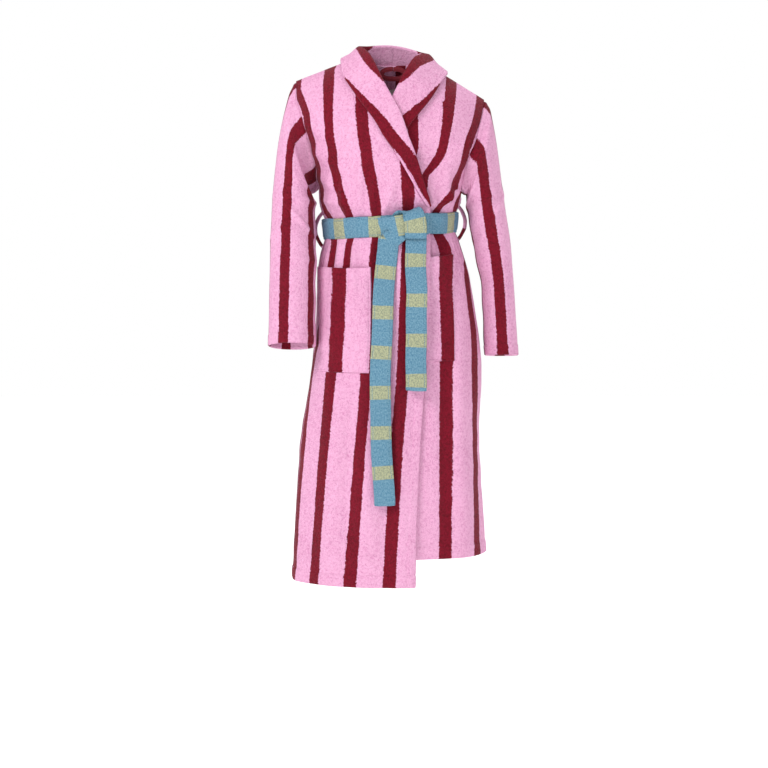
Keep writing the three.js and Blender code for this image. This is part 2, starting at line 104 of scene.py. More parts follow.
def curve(knots: Sequence[Sequence[float]], at: Array) -> Array:
    """Reads a smooth curve that never overshoots its knots.

    Args:
        knots: pairs of place and value, with the places rising.
        at: the places to read it at; past the ends it keeps its end values.

    Returns:
        The values there.
    """
    places, values = np.array(knots, float).T
    steps = np.diff(values) / np.diff(places)
    slopes = np.concatenate([steps[:1], np.zeros(max(0, len(steps) - 1)), steps[-1:]])
    for i in range(1, len(steps)):
        before, after = steps[i - 1], steps[i]
        slopes[i] = 0.0 if before * after <= 0 else 2 * before * after / (before + after)
    at = np.clip(np.asarray(at, float), places[0], places[-1])
    i = np.clip(np.searchsorted(places, at) - 1, 0, len(places) - 2)
    gap = places[i + 1] - places[i]
    t = (at - places[i]) / gap
    bend = gap * (t * (1 - t) ** 2 * slopes[i] - t * t * (1 - t) * slopes[i + 1])
    return lerp(values[i], values[i + 1], t * t * (3 - 2 * t)) + bend


def by_height(points: Sequence[Sequence[float]], z: Array) -> Array:
    """Reads X at height z along a list of [x, z] points in millimetres, from the top down."""
    return curve([(-point[1] * MM, point[0] * MM) for point in points], -np.asarray(z, float))


def ripple(place: Array, wavelength: float, seed: float) -> Array:
    """Returns an uneven wave from -1 to 1 along a place, the same on every run."""
    phase = 2 * math.pi * np.asarray(place, float) / wavelength
    return 0.6 * np.sin(phase + seed) + 0.4 * np.sin(0.618 * phase + 2.1 * seed + 1.0)


# ---- The form that the cloth lies on ----------------------------------------------------------------------
@dataclass(frozen=True)
class BodyForm:
    """The outer surface of the robe's body. The angle is 0 at the wearer's left side and pi at the right,
    positive towards the front. The level is a drop, or, past the chest, -1 to 0 up to the shoulder line."""

    drops: tuple[float, ...] = (0.150, 0.204, 0.343, 0.465, 0.642, 0.860, 1.149)
    widths: tuple[float, ...] = (0.430, 0.363, 0.291, 0.343, 0.378, 0.409, 0.447)
    shifts: tuple[float, ...] = (-0.003, -0.003, -0.002, 0.006, 0.015, -0.004, -0.002)
    fronts: tuple[float, ...] = (0.128, 0.128, 0.105, 0.115, 0.125, 0.135, 0.145)
    backs: tuple[float, ...] = (0.116, 0.118, 0.095, 0.125, 0.135, 0.125, 0.130)
    chest: float = 0.150
    waist: float = 0.343
    peak: float = 0.0635
    slope: float = 0.5
    tilt: float = 0.115
    middle: float = 0.005
    neck_round: float = 0.045
    shoulder_back: float = 0.012
    arch_drop: float = 0.2

    def size(self, values: tuple[float, ...], drop: Array) -> Array:
        """Returns one of the sizes at a drop."""
        return curve(list(zip(self.drops, values)), drop)

    def shoulder(self, x: Array) -> Array:
        """Returns the height of the shoulder line over x."""
        off = np.abs(x - self.middle)
        off = np.where(off < self.neck_round, off * off / (2 * self.neck_round) + self.neck_round / 2, off)
        return self.peak - self.slope * off - self.tilt * (x - self.middle)

    def lean(self, drop: Array) -> Array:
        """Returns how far a level tips down towards +X: with the shoulders at the chest, not at the waist."""
        return self.tilt * (1 - ease(self.chest, self.waist, drop))

    def point(self, angle: Array, level: Array) -> Array:
        """Returns the points at these angles and levels, as an array with X, Y and Z last."""
        angle, level = np.broadcast_arrays(np.asarray(angle, float), np.asarray(level, float))
        drop = np.maximum(level, self.chest)
        turn = np.where(level <= 0, -level, 0.0) * math.pi / 2
        half, sine = self.size(self.widths, drop) / 2, np.sin(angle)
        x = self.size(self.shifts, drop) + half * np.cos(angle)
        depth = np.where(sine > 0, self.size(self.fronts, drop), self.size(self.backs, drop))
        y = lerp(self.shoulder_back, -sine * depth, np.cos(turn))
        z = lerp(-drop - self.lean(drop) * x, self.shoulder(x), np.sin(turn))
        return np.stack([x, y, z], -1)

    def normal(self, angle: Array, level: Array) -> Array:
        """Returns the outward directions at these angles and levels."""
        angle, level = np.broadcast_arrays(np.asarray(angle, float), np.asarray(level, float))
        step = np.where(level > 0, 0.001, 0.004)
        along = self.point(angle + 0.01, level) - self.point(angle - 0.01, level)
        up = self.point(angle, level - step) - self.point(angle, level + step)
        return -unit(np.cross(along, up))

    def level_at(self, x: Array, z: Array) -> Array:
        """Returns the level at which the form has height z over x."""
        x, z = np.broadcast_arrays(np.asarray(x, float), np.asarray(z, float))
        chest_z = -self.chest - self.tilt * x
        rise = np.clip((z - chest_z) / np.maximum(self.shoulder(x) - chest_z, 1e-4), 0.0, 1.0)
        drop = np.maximum(-z, self.chest)
        for _ in range(5):
            drop = np.maximum(self.chest, -z - self.lean(drop) * x)
        return np.where(z > chest_z, -np.arcsin(rise) / (math.pi / 2), drop)

    def angle_at(self, x: Array, level: Array) -> Array:
        """Returns the angle, from 0 to pi, at which a level has a given x."""
        drop = np.where(np.asarray(level) <= 0, self.chest, level)
        half = self.size(self.widths, drop) / 2
        return np.arccos(np.clip((x - self.size(self.shifts, drop)) / half, -1.0, 1.0))

    def over(self, x: Array, arch: Array) -> tuple[Array, Array]:
        """Finds a place by x and by how far it is over the shoulders.

        Args:
            x: the X.
            arch: 0 on the shoulder line, 1 at the chest in front, -1 at the chest behind, and past that
                one more for each 0.2 m of drop.

        Returns:
            The angle and the level there.
        """
        arch = np.asarray(arch, float)
        level = np.where(np.abs(arch) < 1, np.abs(arch) - 1, self.chest + (np.abs(arch) - 1) * self.arch_drop)
        return np.where(arch < 0, -1, 1) * self.angle_at(x, level), level

    def arch_of(self, level: Array) -> Array:
        """Returns how far past the shoulder line a level is, as the arch value of over()."""
        level = np.asarray(level, float)
        return np.where(level <= 0, 1 + level, 1 + (level - self.chest) / self.arch_drop)


FORM = BodyForm()
BELT_DROP, BELT_WIDTH, BELT_TILT = 0.347, 0.045, 0.055
FOLD_SCALE = 1.35  # how much higher the folds stand than their heights in the lists below


def belt_line(x: Array) -> Array:
    """Returns the height of the middle of the waist band over x."""
    return -BELT_DROP + BELT_TILT * x


# ---- How the cloth falls ----------------------------------------------------------------------------------
@dataclass(frozen=True)
class Fold:
    """One fold of the robe: a soft ridge, or a dip where the height is negative, from one [x, z] point to
    another in millimetres."""

    start: tuple[float, float]
    end: tuple[float, float]
    width: float
    height: float

    def lift(self, x: Array, z: Array) -> Array:
        """Returns how far the fold lifts the cloth at x and z."""
        a, b = np.array(self.start) * MM, np.array(self.end) * MM
        run = b - a
        length = np.linalg.norm(run)
        run = run / length
        along = ((x - a[0]) * run[0] + (z - a[1]) * run[1]) / length
        across = (x - a[0]) * -run[1] + (z - a[1]) * run[0]
        ends = ease(-0.12, 0.22, along) * (1 - ease(0.7, 1.12, along))
        return self.height * MM * bell(across, 0.0, self.width * MM) * ends


FRONT_FOLDS = (
    # gathers that run up and down from the waist band
    Fold((-96, -322), (-104, -230), 9, 6.0), Fold((-70, -322), (-66, -212), 10, 6.5),
    Fold((-44, -324), (-34, -236), 8, 5.0), Fold((-16, -322), (6, -246), 9, 4.5),
    Fold((-120, -320), (-138, -210), 10, 4.5), Fold((100, -318), (72, -236), 9, 6.5),
    Fold((124, -316), (118, -220), 9, 5.5), Fold((84, -318), (40, -262), 8, 4.5),
    Fold((-108, -372), (-116, -500), 10, 4.5), Fold((-76, -372), (-84, -520), 11, 5.0),
    Fold((-46, -374), (-48, -470), 9, 4.5), Fold((-18, -376), (-14, -500), 10, 4.5),
    Fold((12, -376), (26, -520), 11, 5.0), Fold((96, -368), (92, -500), 10, 4.5),
    Fold((122, -366), (132, -480), 10, 5.0), Fold((74, -374), (66, -560), 10, 4.0),
    # drags across the bodice, towards the knot and out of the armholes
    Fold((168, -190), (72, -292), 12, 5.5), Fold((182, -150), (98, -236), 13, 4.0),
    Fold((150, -262), (96, -300), 9, 4.5), Fold((-176, -176), (-96, -232), 13, 5.0),
    Fold((-168, -232), (-92, -276), 11, 4.5), Fold((-190, -112), (-128, -168), 14, 3.5),
    Fold((-150, -286), (-80, -300), 9, 3.5), Fold((30, -232), (64, -300), 10, 3.0),
    # the skirt's own soft flares
    Fold((-40, -560), (-58, -1160), 26, 6.0), Fold((-128, -560), (-150, -1160), 28, 6.0),
    Fold((18, -620), (28, -1160), 22, 4.0), Fold((88, -560), (96, -1100), 18, 4.0),
    Fold((142, -520), (160, -1100), 24, 6.5), Fold((-84, -680), (-104, -1160), 16, -4.0),
    Fold((-10, -640), (-14, -1160), 16, -4.0), Fold((118, -600), (126, -1100), 14, -4.0),
    # where the thigh and the knee push the skirt
    Fold((40, -440), (46, -640), 30, 4.0), Fold((-150, -420), (-120, -620), 18, 4.0),
)
BACK_FOLDS = (
    Fold((-92, -322), (-112, -190), 11, 6.0), Fold((-56, -324), (-60, -200), 10, 6.5),
    Fold((-20, -324), (-14, -214), 10, 5.5), Fold((18, -324), (22, -196), 11, 6.5),
    Fold((56, -322), (66, -206), 10, 6.0), Fold((94, -320), (116, -196), 11, 5.5),
    Fold((-116, -370), (-124, -520), 11, 5.5), Fold((-78, -370), (-84, -560), 11, 5.5),
    Fold((-36, -370), (-34, -520), 10, 5.0), Fold((4, -370), (2, -600), 11, 6.0),
    Fold((44, -368), (48, -520), 10, 5.0), Fold((84, -368), (92, -560), 11, 5.5),
    Fold((120, -366), (130, -500), 10, 5.0),
    Fold((-150, -560), (-166, -1160), 28, 7.5), Fold((-70, -520), (-84, -1150), 26, 6.5),
    Fold((10, -560), (12, -1140), 28, 6.5), Fold((88, -540), (98, -1110), 26, 6.5),
    Fold((156, -540), (170, -1100), 26, 7.0), Fold((-110, -640), (-124, -1150), 16, -4.0),
    Fold((-28, -640), (-36, -1150), 16, -4.0), Fold((50, -620), (54, -1130), 16, -4.0),
    Fold((124, -620), (134, -1100), 16, -4.0), Fold((-172, -150), (-70, -236), 15, 5.0),
    Fold((168, -150), (76, -240), 15, 5.0), Fold((-150, -110), (-40, -150), 20, 3.0),
    Fold((150, -130), (40, -160), 20, 3.0),
)


def drape(angle: Array, level: Array) -> Array:
    """Returns how far the cloth stands off the form: drawn in under the belt, bloused above it, gathered on
    both sides of it and falling in soft folds below. Pieces that lie on each other share it."""
    point = FORM.point(angle, level)
    x, z = point[..., 0], point[..., 2]
    front = ease(-0.12, 0.12, np.sin(angle))
    lift = front * sum(fold.lift(x, z) for fold in FRONT_FOLDS)
    lift = (lift + (1 - front) * sum(fold.lift(x, z) for fold in BACK_FOLDS)) * FOLD_SCALE
    above = z - belt_line(x)
    round_body = angle * 0.16
    band = ease(0.014, 0.045, np.abs(above))
    near = np.where(above > 0, 1 - ease(0.03, 0.10, above), 1 - ease(0.05, 0.2, -above))
    lift = lift * lerp(0.12, 1.0, band) + 0.0022 * band * near * ripple(round_body, 0.024, 0.7)
    lift = lift + 0.0075 * bell(above, 0.058, 0.034) + 0.002 * bell(above, -0.06, 0.04)
    lift = lift - 0.004 * bell(above, 0.0, 0.02)
    flare = ease(-0.5, -1.1, z)
    lift = lift + 0.0035 * flare * ripple(round_body, 0.115, 2.0)
    return lift + 0.0012 * ripple(x + 0.4 * z, 0.071, 0.3) * ripple(z, 0.093, 1.7) * band


def stitch_rows(depth: float) -> list[float]:
    """Returns the distances from an edge at which rows lie close, around its line of stitching."""
    return [BY_EDGE] + [depth + step for step in BY_STITCH]


# ---- Closed sheets of cloth -------------------------------------------------------------------------------
@dataclass
class Sheet:
    """A closed sheet of cloth from two grids of points, its outer and its inner face.

    The grids have the same rows and columns. A sheet that wraps is a tube: its last column joins its first.
    The cloth map carries, in metres of cloth, how far a point lies across the stripes and along them.
    """

    name: str
    outer: Array
    inner: Array
    across: Array
    along: Array
    wraps: bool = False

    def build(self) -> bpy.types.Object:
        """Makes the mesh, with rounded rims, outward faces and the cloth map.

        Returns:
            The new object, linked to the scene and smooth shaded.
        """
        rows, columns = self.outer.shape[:2]
        rim = self.rim_points()
        points = np.concatenate([self.outer.reshape(-1, 3), self.inner.reshape(-1, 3), rim[0]])
        flat = np.arange(rows * columns).reshape(rows, columns)
        if self.wraps:
            flat = np.concatenate([flat, flat[:, :1]], 1)
        quads = [self.quads(flat), self.quads(flat + rows * columns)[:, ::-1]]
        for loop, middle in rim[1]:
            inside = loop + rows * columns
            quads.append(np.stack([loop[1:], loop[:-1], middle[:-1], middle[1:]], 1))
            quads.append(np.stack([middle[1:], middle[:-1], inside[:-1], inside[1:]], 1))
        faces = np.concatenate(quads)
        maps = np.concatenate([np.stack([self.across.ravel(), self.along.ravel()], 1)] * 2)
        maps = np.concatenate([maps, rim[2]])
        return self.finish(points, faces, maps)

    def quads(self, grid: Array) -> Array:
        """Returns the four corners of each cell of a grid of point numbers."""
        a, b, c, d = grid[:-1, :-1], grid[:-1, 1:], grid[1:, 1:], grid[1:, :-1]
        return np.stack([a, b, c, d], -1).reshape(-1, 4)

    def rim_points(self) -> tuple[Array, list, Array]:
        """Finds the points half way through the cloth that round its edges off.

        Returns:
            The points, the loops of outer and rim point numbers, and the points' places on the cloth map.
        """
        rows, columns = self.outer.shape[:2]
        flat = np.arange(rows * columns).reshape(rows, columns)
        if self.wraps:
            loops = [np.append(flat[0], flat[0, 0]), np.append(flat[-1], flat[-1, 0])[::-1]]
            steps = [columns, -columns]
        else:
            round_it = [flat[0, :-1], flat[:-1, -1], flat[-1, :0:-1], flat[:0:-1, 0], flat[:1, 0]]
            loops = [np.concatenate(round_it)]
            steps = [None]
        outer, inner = self.outer.reshape(-1, 3), self.inner.reshape(-1, 3)
        across, along = self.across.ravel(), self.along.ravel()
        points, made, maps = [], [], []
        start = 2 * rows * columns
        for loop, step in zip(loops, steps):
            ids = loop[:-1]
            row, column = ids // columns, ids % columns
            if step is not None:
                behind = ids + step
            else:
                behind = flat[np.clip(row, 1, rows - 2), np.clip(column, 1, columns - 2)]
            out = unit(outer[ids] - outer[behind])
            thick = np.linalg.norm(outer[ids] - inner[ids], axis=1, keepdims=True)
            points.append((outer[ids] + inner[ids]) / 2 + out * thick * 0.42)
            numbers = start + np.arange(len(ids))
            start += len(ids)
            made.append((loop, np.append(numbers, numbers[0])))
            maps.append(np.stack([across[ids], along[ids]], 1))
        return np.concatenate(points), made, np.concatenate(maps)

    def finish(self, points: Array, faces: Array, maps: Array) -> bpy.types.Object:
        """Makes the object from points, four-cornered faces and the points' places on the cloth map."""
        corners = points[faces]
        volume = np.einsum("ij,ij->i", corners[:, 0], np.cross(corners[:, 1], corners[:, 2])).sum()
        volume += np.einsum("ij,ij->i", corners[:, 0], np.cross(corners[:, 2], corners[:, 3])).sum()
        if volume < 0:
            faces = faces[:, ::-1]
        mesh = bpy.data.meshes.new(self.name)
        mesh.vertices.add(len(points))
        mesh.vertices.foreach_set("co", points.astype(np.float32).ravel())
        mesh.loops.add(faces.size)
        mesh.loops.foreach_set("vertex_index", faces.astype(np.int32).ravel())
        mesh.polygons.add(len(faces))
        mesh.polygons.foreach_set("loop_start", np.arange(0, faces.size, 4, dtype=np.int32))
        mesh.polygons.foreach_set("use_smooth", np.ones(len(faces), bool))
        mesh.update(calc_edges=True)
        layer = mesh.uv_layers.new(name=CLOTH_MAP)
        layer.data.foreach_set("uv", maps[faces.ravel()].astype(np.float32).ravel())
        mesh.validate()
        piece = bpy.data.objects.new(self.name, mesh)
        bpy.context.scene.collection.objects.link(piece)
        return piece


@dataclass
class Piece:
    """A finished piece: what it stands for, what it is cut from and what it rides on."""

    shape: bpy.types.Object
    body: str
    node: str | None
    slot: str
    flat: tuple[float, float]
    held: str = "hung"
    area: float | None = None
    rests_on: tuple[str, ...] = ()

    def dress(self, material: bpy.types.Material, rides: bool = True) -> "Piece":
        """Gives the piece its material and its body, hides the imported solid it stands for, and reports it.
        """
        self.shape.data.materials.clear()
        self.shape.data.materials.append(material)
        if rides:
            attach(self.shape, self.body)
        if self.node:
            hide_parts(self.node)
        list(self.rests_on)
        faces = len(self.shape.data.polygons)
        LOG.info("%s rides on %s, %d faces", self.shape.name, self.body, faces)
        return self


# ---- Shader maths -----------------------------------------------------------------------------------------
class Value:
    """A number that varies over a surface: Python's operators on it add Math nodes."""

    def __init__(self, nodes: "NodeDesk", socket: bpy.types.NodeSocket) -> None:
        """Wraps a socket of a node on this desk."""
        self.nodes, self.socket = nodes, socket

    def math(self, operation: str, *others: "Value | float") -> "Value":
        """Returns the result of a Math node on this value and the others, in that order."""
        return self.nodes.math(operation, self, *others)

    def __add__(self, other: "Value | float") -> "Value":
        """Adds."""
        return self.math("ADD", other)

    __radd__ = __add__

    def __sub__(self, other: "Value | float") -> "Value":
        """Takes the other away."""
        return self.math("SUBTRACT", other)

    def __rsub__(self, other: float) -> "Value":
        """Takes this value away from a number."""
        return self.nodes.math("SUBTRACT", other, self)

    def __mul__(self, other: "Value | float") -> "Value":
        """Multiplies."""
        return self.math("MULTIPLY", other)

    __rmul__ = __mul__

    def __truediv__(self, other: "Value | float") -> "Value":
        """Divides."""
        return self.math("DIVIDE", other)

    def __rtruediv__(self, other: float) -> "Value":
        """Divides a number by this value."""
        return self.nodes.math("DIVIDE", other, self)

    def wave(self, period: float) -> "Value":
        """Returns how far this value is from the nearest whole number of periods, from 0 to half a period."""
        return (self / period + 0.5).math("FRACT").math("SUBTRACT", 0.5).math("ABSOLUTE") * period

    def step(self, low: float, high: float) -> "Value":
        """Returns a smooth step from 0 below low to 1 above high."""
        return self.nodes.smooth_step(self, low, high)


class NodeDesk:
    """The node tree of one material, with one method that makes every node."""

    def __init__(self, name: str) -> None:
        """Starts a material with an empty tree."""
        self.material = bpy.data.materials.new(name)
        self.material.use_nodes = True
        self.tree = self.material.node_tree
        self.tree.nodes.clear()

    def add(self, kind: str, settings: dict | None = None, values: dict | None = None) -> bpy.types.Node:
        """Makes a node.

        Args:
            kind: the node's type.
            settings: its own settings by name; "stops" are the place and colour of each stop of a ramp.
            values: a number, colour, Value or socket for each input, by its name or place.

        Returns:
            The node.
        """
        node = self.tree.nodes.new(kind)
        for key, setting in (settings or {}).items():
            if key == "stops":
                for place, colour in setting[1:-1]:
                    node.color_ramp.elements.new(place)
                for element, (place, colour) in zip(node.color_ramp.elements, setting):
                    element.position, element.color = place, colour
            else:
                setattr(node, key, setting)
        for key, value in (values or {}).items():
            if isinstance(value, Value):
                value = value.socket
            if isinstance(value, bpy.types.NodeSocket):
                self.tree.links.new(value, node.inputs[key])
            else:
                node.inputs[key].default_value = value
        return node

    def math(self, operation: str, *parts: Value | float) -> Value:
        """Returns the result of a Math node."""
        node = self.add("ShaderNodeMath", {"operation": operation}, dict(enumerate(parts)))
        return Value(self, node.outputs[0])

    def smooth_step(self, value: Value, low: float, high: float) -> Value:
        """Returns a smooth step of a value from 0 below low to 1 above high."""
        node = self.add("ShaderNodeMapRange", {"interpolation_type": "SMOOTHSTEP"},
                        {0: value, 1: low, 2: high, 3: 0.0, 4: 1.0})
        return Value(self, node.outputs[0])

    def object_place(self) -> bpy.types.NodeSocket:
        """Returns the Object coordinates, in metres."""
        return self.add("ShaderNodeTexCoord").outputs["Object"]

    def cloth_place(self) -> tuple[Value, Value]:
        """Returns how far a point lies across and along the cloth, in metres."""
        place = self.add("ShaderNodeUVMap", {"uv_map": CLOTH_MAP}).outputs[0]
        split = self.add("ShaderNodeSeparateXYZ", {}, {0: place})
        return Value(self, split.outputs[0]), Value(self, split.outputs[1])

    def joined(self, x: Value | float, y: Value | float, z: Value | float = 0.0) -> bpy.types.NodeSocket:
        """Returns a vector made of three values."""
        return self.add("ShaderNodeCombineXYZ", {}, {0: x, 1: y, 2: z}).outputs[0]

    def noise(self, place: bpy.types.NodeSocket, scale: float, detail: float = 2.0,
              rough: float = 0.5) -> Value:
        """Returns smooth noise around 0.5."""
        node = self.add("ShaderNodeTexNoise", {"noise_dimensions": "3D"},
                        {"Vector": place, "Scale": scale, "Detail": detail, "Roughness": rough})
        return Value(self, node.outputs[0])

    def cells(self, place: bpy.types.NodeSocket, scale: float) -> tuple[Value, bpy.types.NodeSocket]:
        """Returns the distance to the nearest of scattered points, and a colour of each one's own."""
        node = self.add("ShaderNodeTexVoronoi", {}, {"Vector": place, "Scale": scale, "Randomness": 0.9})
        return Value(self, node.outputs["Distance"]), node.outputs["Color"]

    def mix(self, share: Value | float, low: object, high: object,
            blend: str = "MIX") -> bpy.types.NodeSocket:
        """Returns the mix of two colours."""
        node = self.add("ShaderNodeMix", {"data_type": "RGBA", "blend_type": blend},
                        {0: share, 6: low, 7: high})
        return node.outputs[2]

    def red_of(self, colour: bpy.types.NodeSocket) -> Value:
        """Returns the red part of a colour, as a number."""
        return Value(self, self.add("ShaderNodeSeparateColor", {}, {0: colour}).outputs[0])

    def surface(self, colour: bpy.types.NodeSocket, rough: Value | float, height: Value,
                relief: float, constants: dict) -> bpy.types.Material:
        """Finishes the material with one Principled shader.

        Args:
            colour: the base colour.
            rough: the roughness.
            height: the height of the texture, where 1 is its full relief.
            relief: that full relief, in metres.
            constants: the shader's other sockets and their numbers.

        Returns:
            The material.
        """
        bump = self.add("ShaderNodeBump", {}, {"Strength": 1.0, "Distance": relief, "Height": height})
        shader = self.add("ShaderNodeBsdfPrincipled", {}, {
            "Base Color": colour, "Roughness": rough, "Normal": bump.outputs[0], **constants})
        self.add("ShaderNodeOutputMaterial", {}, {"Surface": shader.outputs[0]})
        return self.material


Colour = tuple[float, float, float, float]


@dataclass(frozen=True)
class Towelling:
    """Looped towelling with upright stripes. The cloth map's first number is 0 in the middle of a stripe."""

    pink: Colour = (0.800, 0.415, 0.616, 1.0)
    pink_deep: Colour = (0.560, 0.200, 0.380, 1.0)
    burgundy: Colour = (0.205, 0.004, 0.018, 1.0)
    burgundy_deep: Colour = (0.075, 0.001, 0.005, 1.0)
    period: float = STRIPE_PERIOD
    stripe: float = 0.0285
    loop: float = 0.0024
    relief: float = 0.0016

    def material(self) -> bpy.types.Material:
        """Builds the material: ragged stripe edges, loops with shaded gaps, and slow changes of tone."""
        desk = NodeDesk("striped_towelling")
        place = desk.object_place()
        across, _ = desk.cloth_place()
        near, own = desk.cells(place, 1.0 / self.loop)
        tuft = desk.red_of(own)
        fine = desk.noise(place, 1.0 / 0.0011, 2.0, 0.6)
        ragged = (desk.noise(place, 1.0 / 0.0034, 2.0, 0.65) - 0.5) * 0.0064 + (tuft - 0.5) * 0.0016
        wander = (desk.noise(place, 22.0, 1.0) - 0.5) * 0.0040
        off_stripe = (across + ragged + wander).wave(self.period)
        in_stripe = 1 - off_stripe.step(self.stripe / 2 - 0.0005, self.stripe / 2 + 0.0005)
        slow = desk.noise(place, 9.0, 3.0)
        loops = 1 - near.step(0.12, 0.75)
        clumps = desk.noise(place, 1.0 / 0.0052, 2.0, 0.6)
        # The loops term darkens the colour in the gaps between the loops: painted shade. The tuft, fine,
        # clumps and slow terms vary the tone at random.
        shade = loops * 0.30 + (tuft - 0.5) * 0.30 + (fine - 0.5) * 0.50 + (clumps - 0.5) * 1.30
        shade = shade + (slow - 0.5) * 0.45 + 0.60
        pink = desk.mix(shade.step(0.0, 1.0), self.pink_deep, self.pink)
        burgundy = desk.mix(shade.step(0.0, 1.1), self.burgundy_deep, self.burgundy)
        colour = desk.mix(in_stripe, pink, burgundy)
        rough = 0.90 + (fine - 0.5) * 0.15
        height = loops * 0.50 + fine * 0.30 + tuft * 0.15 + clumps * 0.55
        return desk.surface(colour, rough, height, self.relief, {
            "Sheen Weight": 0.10, "Sheen Roughness": 0.40, "Sheen Tint": (1.0, 0.80, 0.92, 1.0),
            "Specular IOR Level": 0.18})


@dataclass(frozen=True)
class BeltCloth:
    """Flat-woven heathered cloth in blocks of two colours, stitched near its edges."""

    blue: Colour = (0.016, 0.115, 0.210, 1.0)
    blue_light: Colour = (0.215, 0.385, 0.490, 1.0)
    green: Colour = (0.555, 0.555, 0.320, 1.0)
    green_grey: Colour = (0.110, 0.150, 0.130, 1.0)
    period: float = 0.0885
    block: float = 0.0300
    half: float = BELT_WIDTH / 2
    stitch_in: float = 0.0045

    def material(self) -> bpy.types.Material:
        """Builds the material: blocks along the strip, threads of two tones, ribs and lines of stitching."""
        desk = NodeDesk("belt_weave")
        across, along = desk.cloth_place()
        place = desk.joined(across, along)
        stretched = desk.joined(across, along * 0.35)
        off_block = (along + (desk.noise(place, 260.0, 1.0) - 0.5) * 0.0022).wave(self.period)
        in_block = 1 - off_block.step(self.block / 2 - 0.0006, self.block / 2 + 0.0006)
        heather = desk.noise(stretched, 1050.0, 2.0, 0.6).step(0.36, 0.64)
        speck = desk.noise(place, 620.0, 2.0, 0.7).step(0.42, 0.60)
        slub = desk.noise(desk.joined(across, along * 0.6), 330.0, 2.0, 0.65).step(0.32, 0.66)
        blue = desk.mix(heather * 0.40 + speck * 0.20 + slub * 0.40, self.blue, self.blue_light)
        green = desk.mix(speck * 0.45 + heather * 0.15 + slub * 0.40, self.green_grey, self.green)
        colour = desk.mix(in_block, blue, green)
        to_edge = self.half - across.math("ABSOLUTE")
        line = 1 - (to_edge - self.stitch_in).math("ABSOLUTE").step(0.0003, 0.0009)
        dash = along.wave(0.0042).step(0.0004, 0.0009)
        thread = line * dash
        colour = desk.mix(thread * 0.6, colour, self.blue_light)
        # Between the stitches the line is darkened towards the deepest blue: painted shade in the stitching's
        # groove.
        colour = desk.mix(line * (1 - dash) * 0.8, colour, self.blue)
        ribs = (across * (1 / 0.0011)).math("SINE") * 0.5 + (along * (1 / 0.0008)).math("SINE") * 0.5
        height = ribs * 0.22 + heather * 0.5 + thread * 0.8 - line * 0.4
        rough = 0.80 + (heather - 0.5) * 0.16
        return desk.surface(colour, rough, height, 0.0006, {
            "Sheen Weight": 0.06, "Sheen Roughness": 0.5, "Sheen Tint": (0.85, 0.95, 1.0, 1.0),
            "Specular IOR Level": 0.25})


@dataclass(frozen=True)
class Tape:
    """Narrow woven tape, ribbed across, in one colour."""

    name: str
    colour: Colour
    deep: Colour
    rib: float = 0.0013
    rough: float = 0.75
    sheen: float = 0.15

    def material(self) -> bpy.types.Material:
        """Builds the material: ribs across the tape, threads along it and slow changes of tone."""
        desk = NodeDesk(self.name)
        across, along = desk.cloth_place()
        place = desk.joined(across, along)
        ribs = (along * (2 * math.pi / self.rib)).math("SINE") * 0.5 + 0.5
        threads = desk.noise(desk.joined(across, along * 0.2), 1500.0, 2.0)
        slow = desk.noise(place, 60.0, 2.0)
        shade = ribs * 0.4 + threads * 0.4 + slow * 0.3
        colour = desk.mix(shade.step(0.1, 0.9), self.deep, self.colour)
        rough = self.rough + (threads - 0.5) * 0.2
        return desk.surface(colour, rough, ribs * 0.6 + threads * 0.4, 0.0003, {
            "Sheen Weight": self.sheen, "Specular IOR Level": 0.35})


# ---- Panels -----------------------------------------------------------------------------------------------
@dataclass(frozen=True)
class GrainLine:
    """A thread line of a panel: how far in cloth it lies across the stripes, and its X from the top down."""

    across: float
    path: tuple[tuple[float, float], ...]


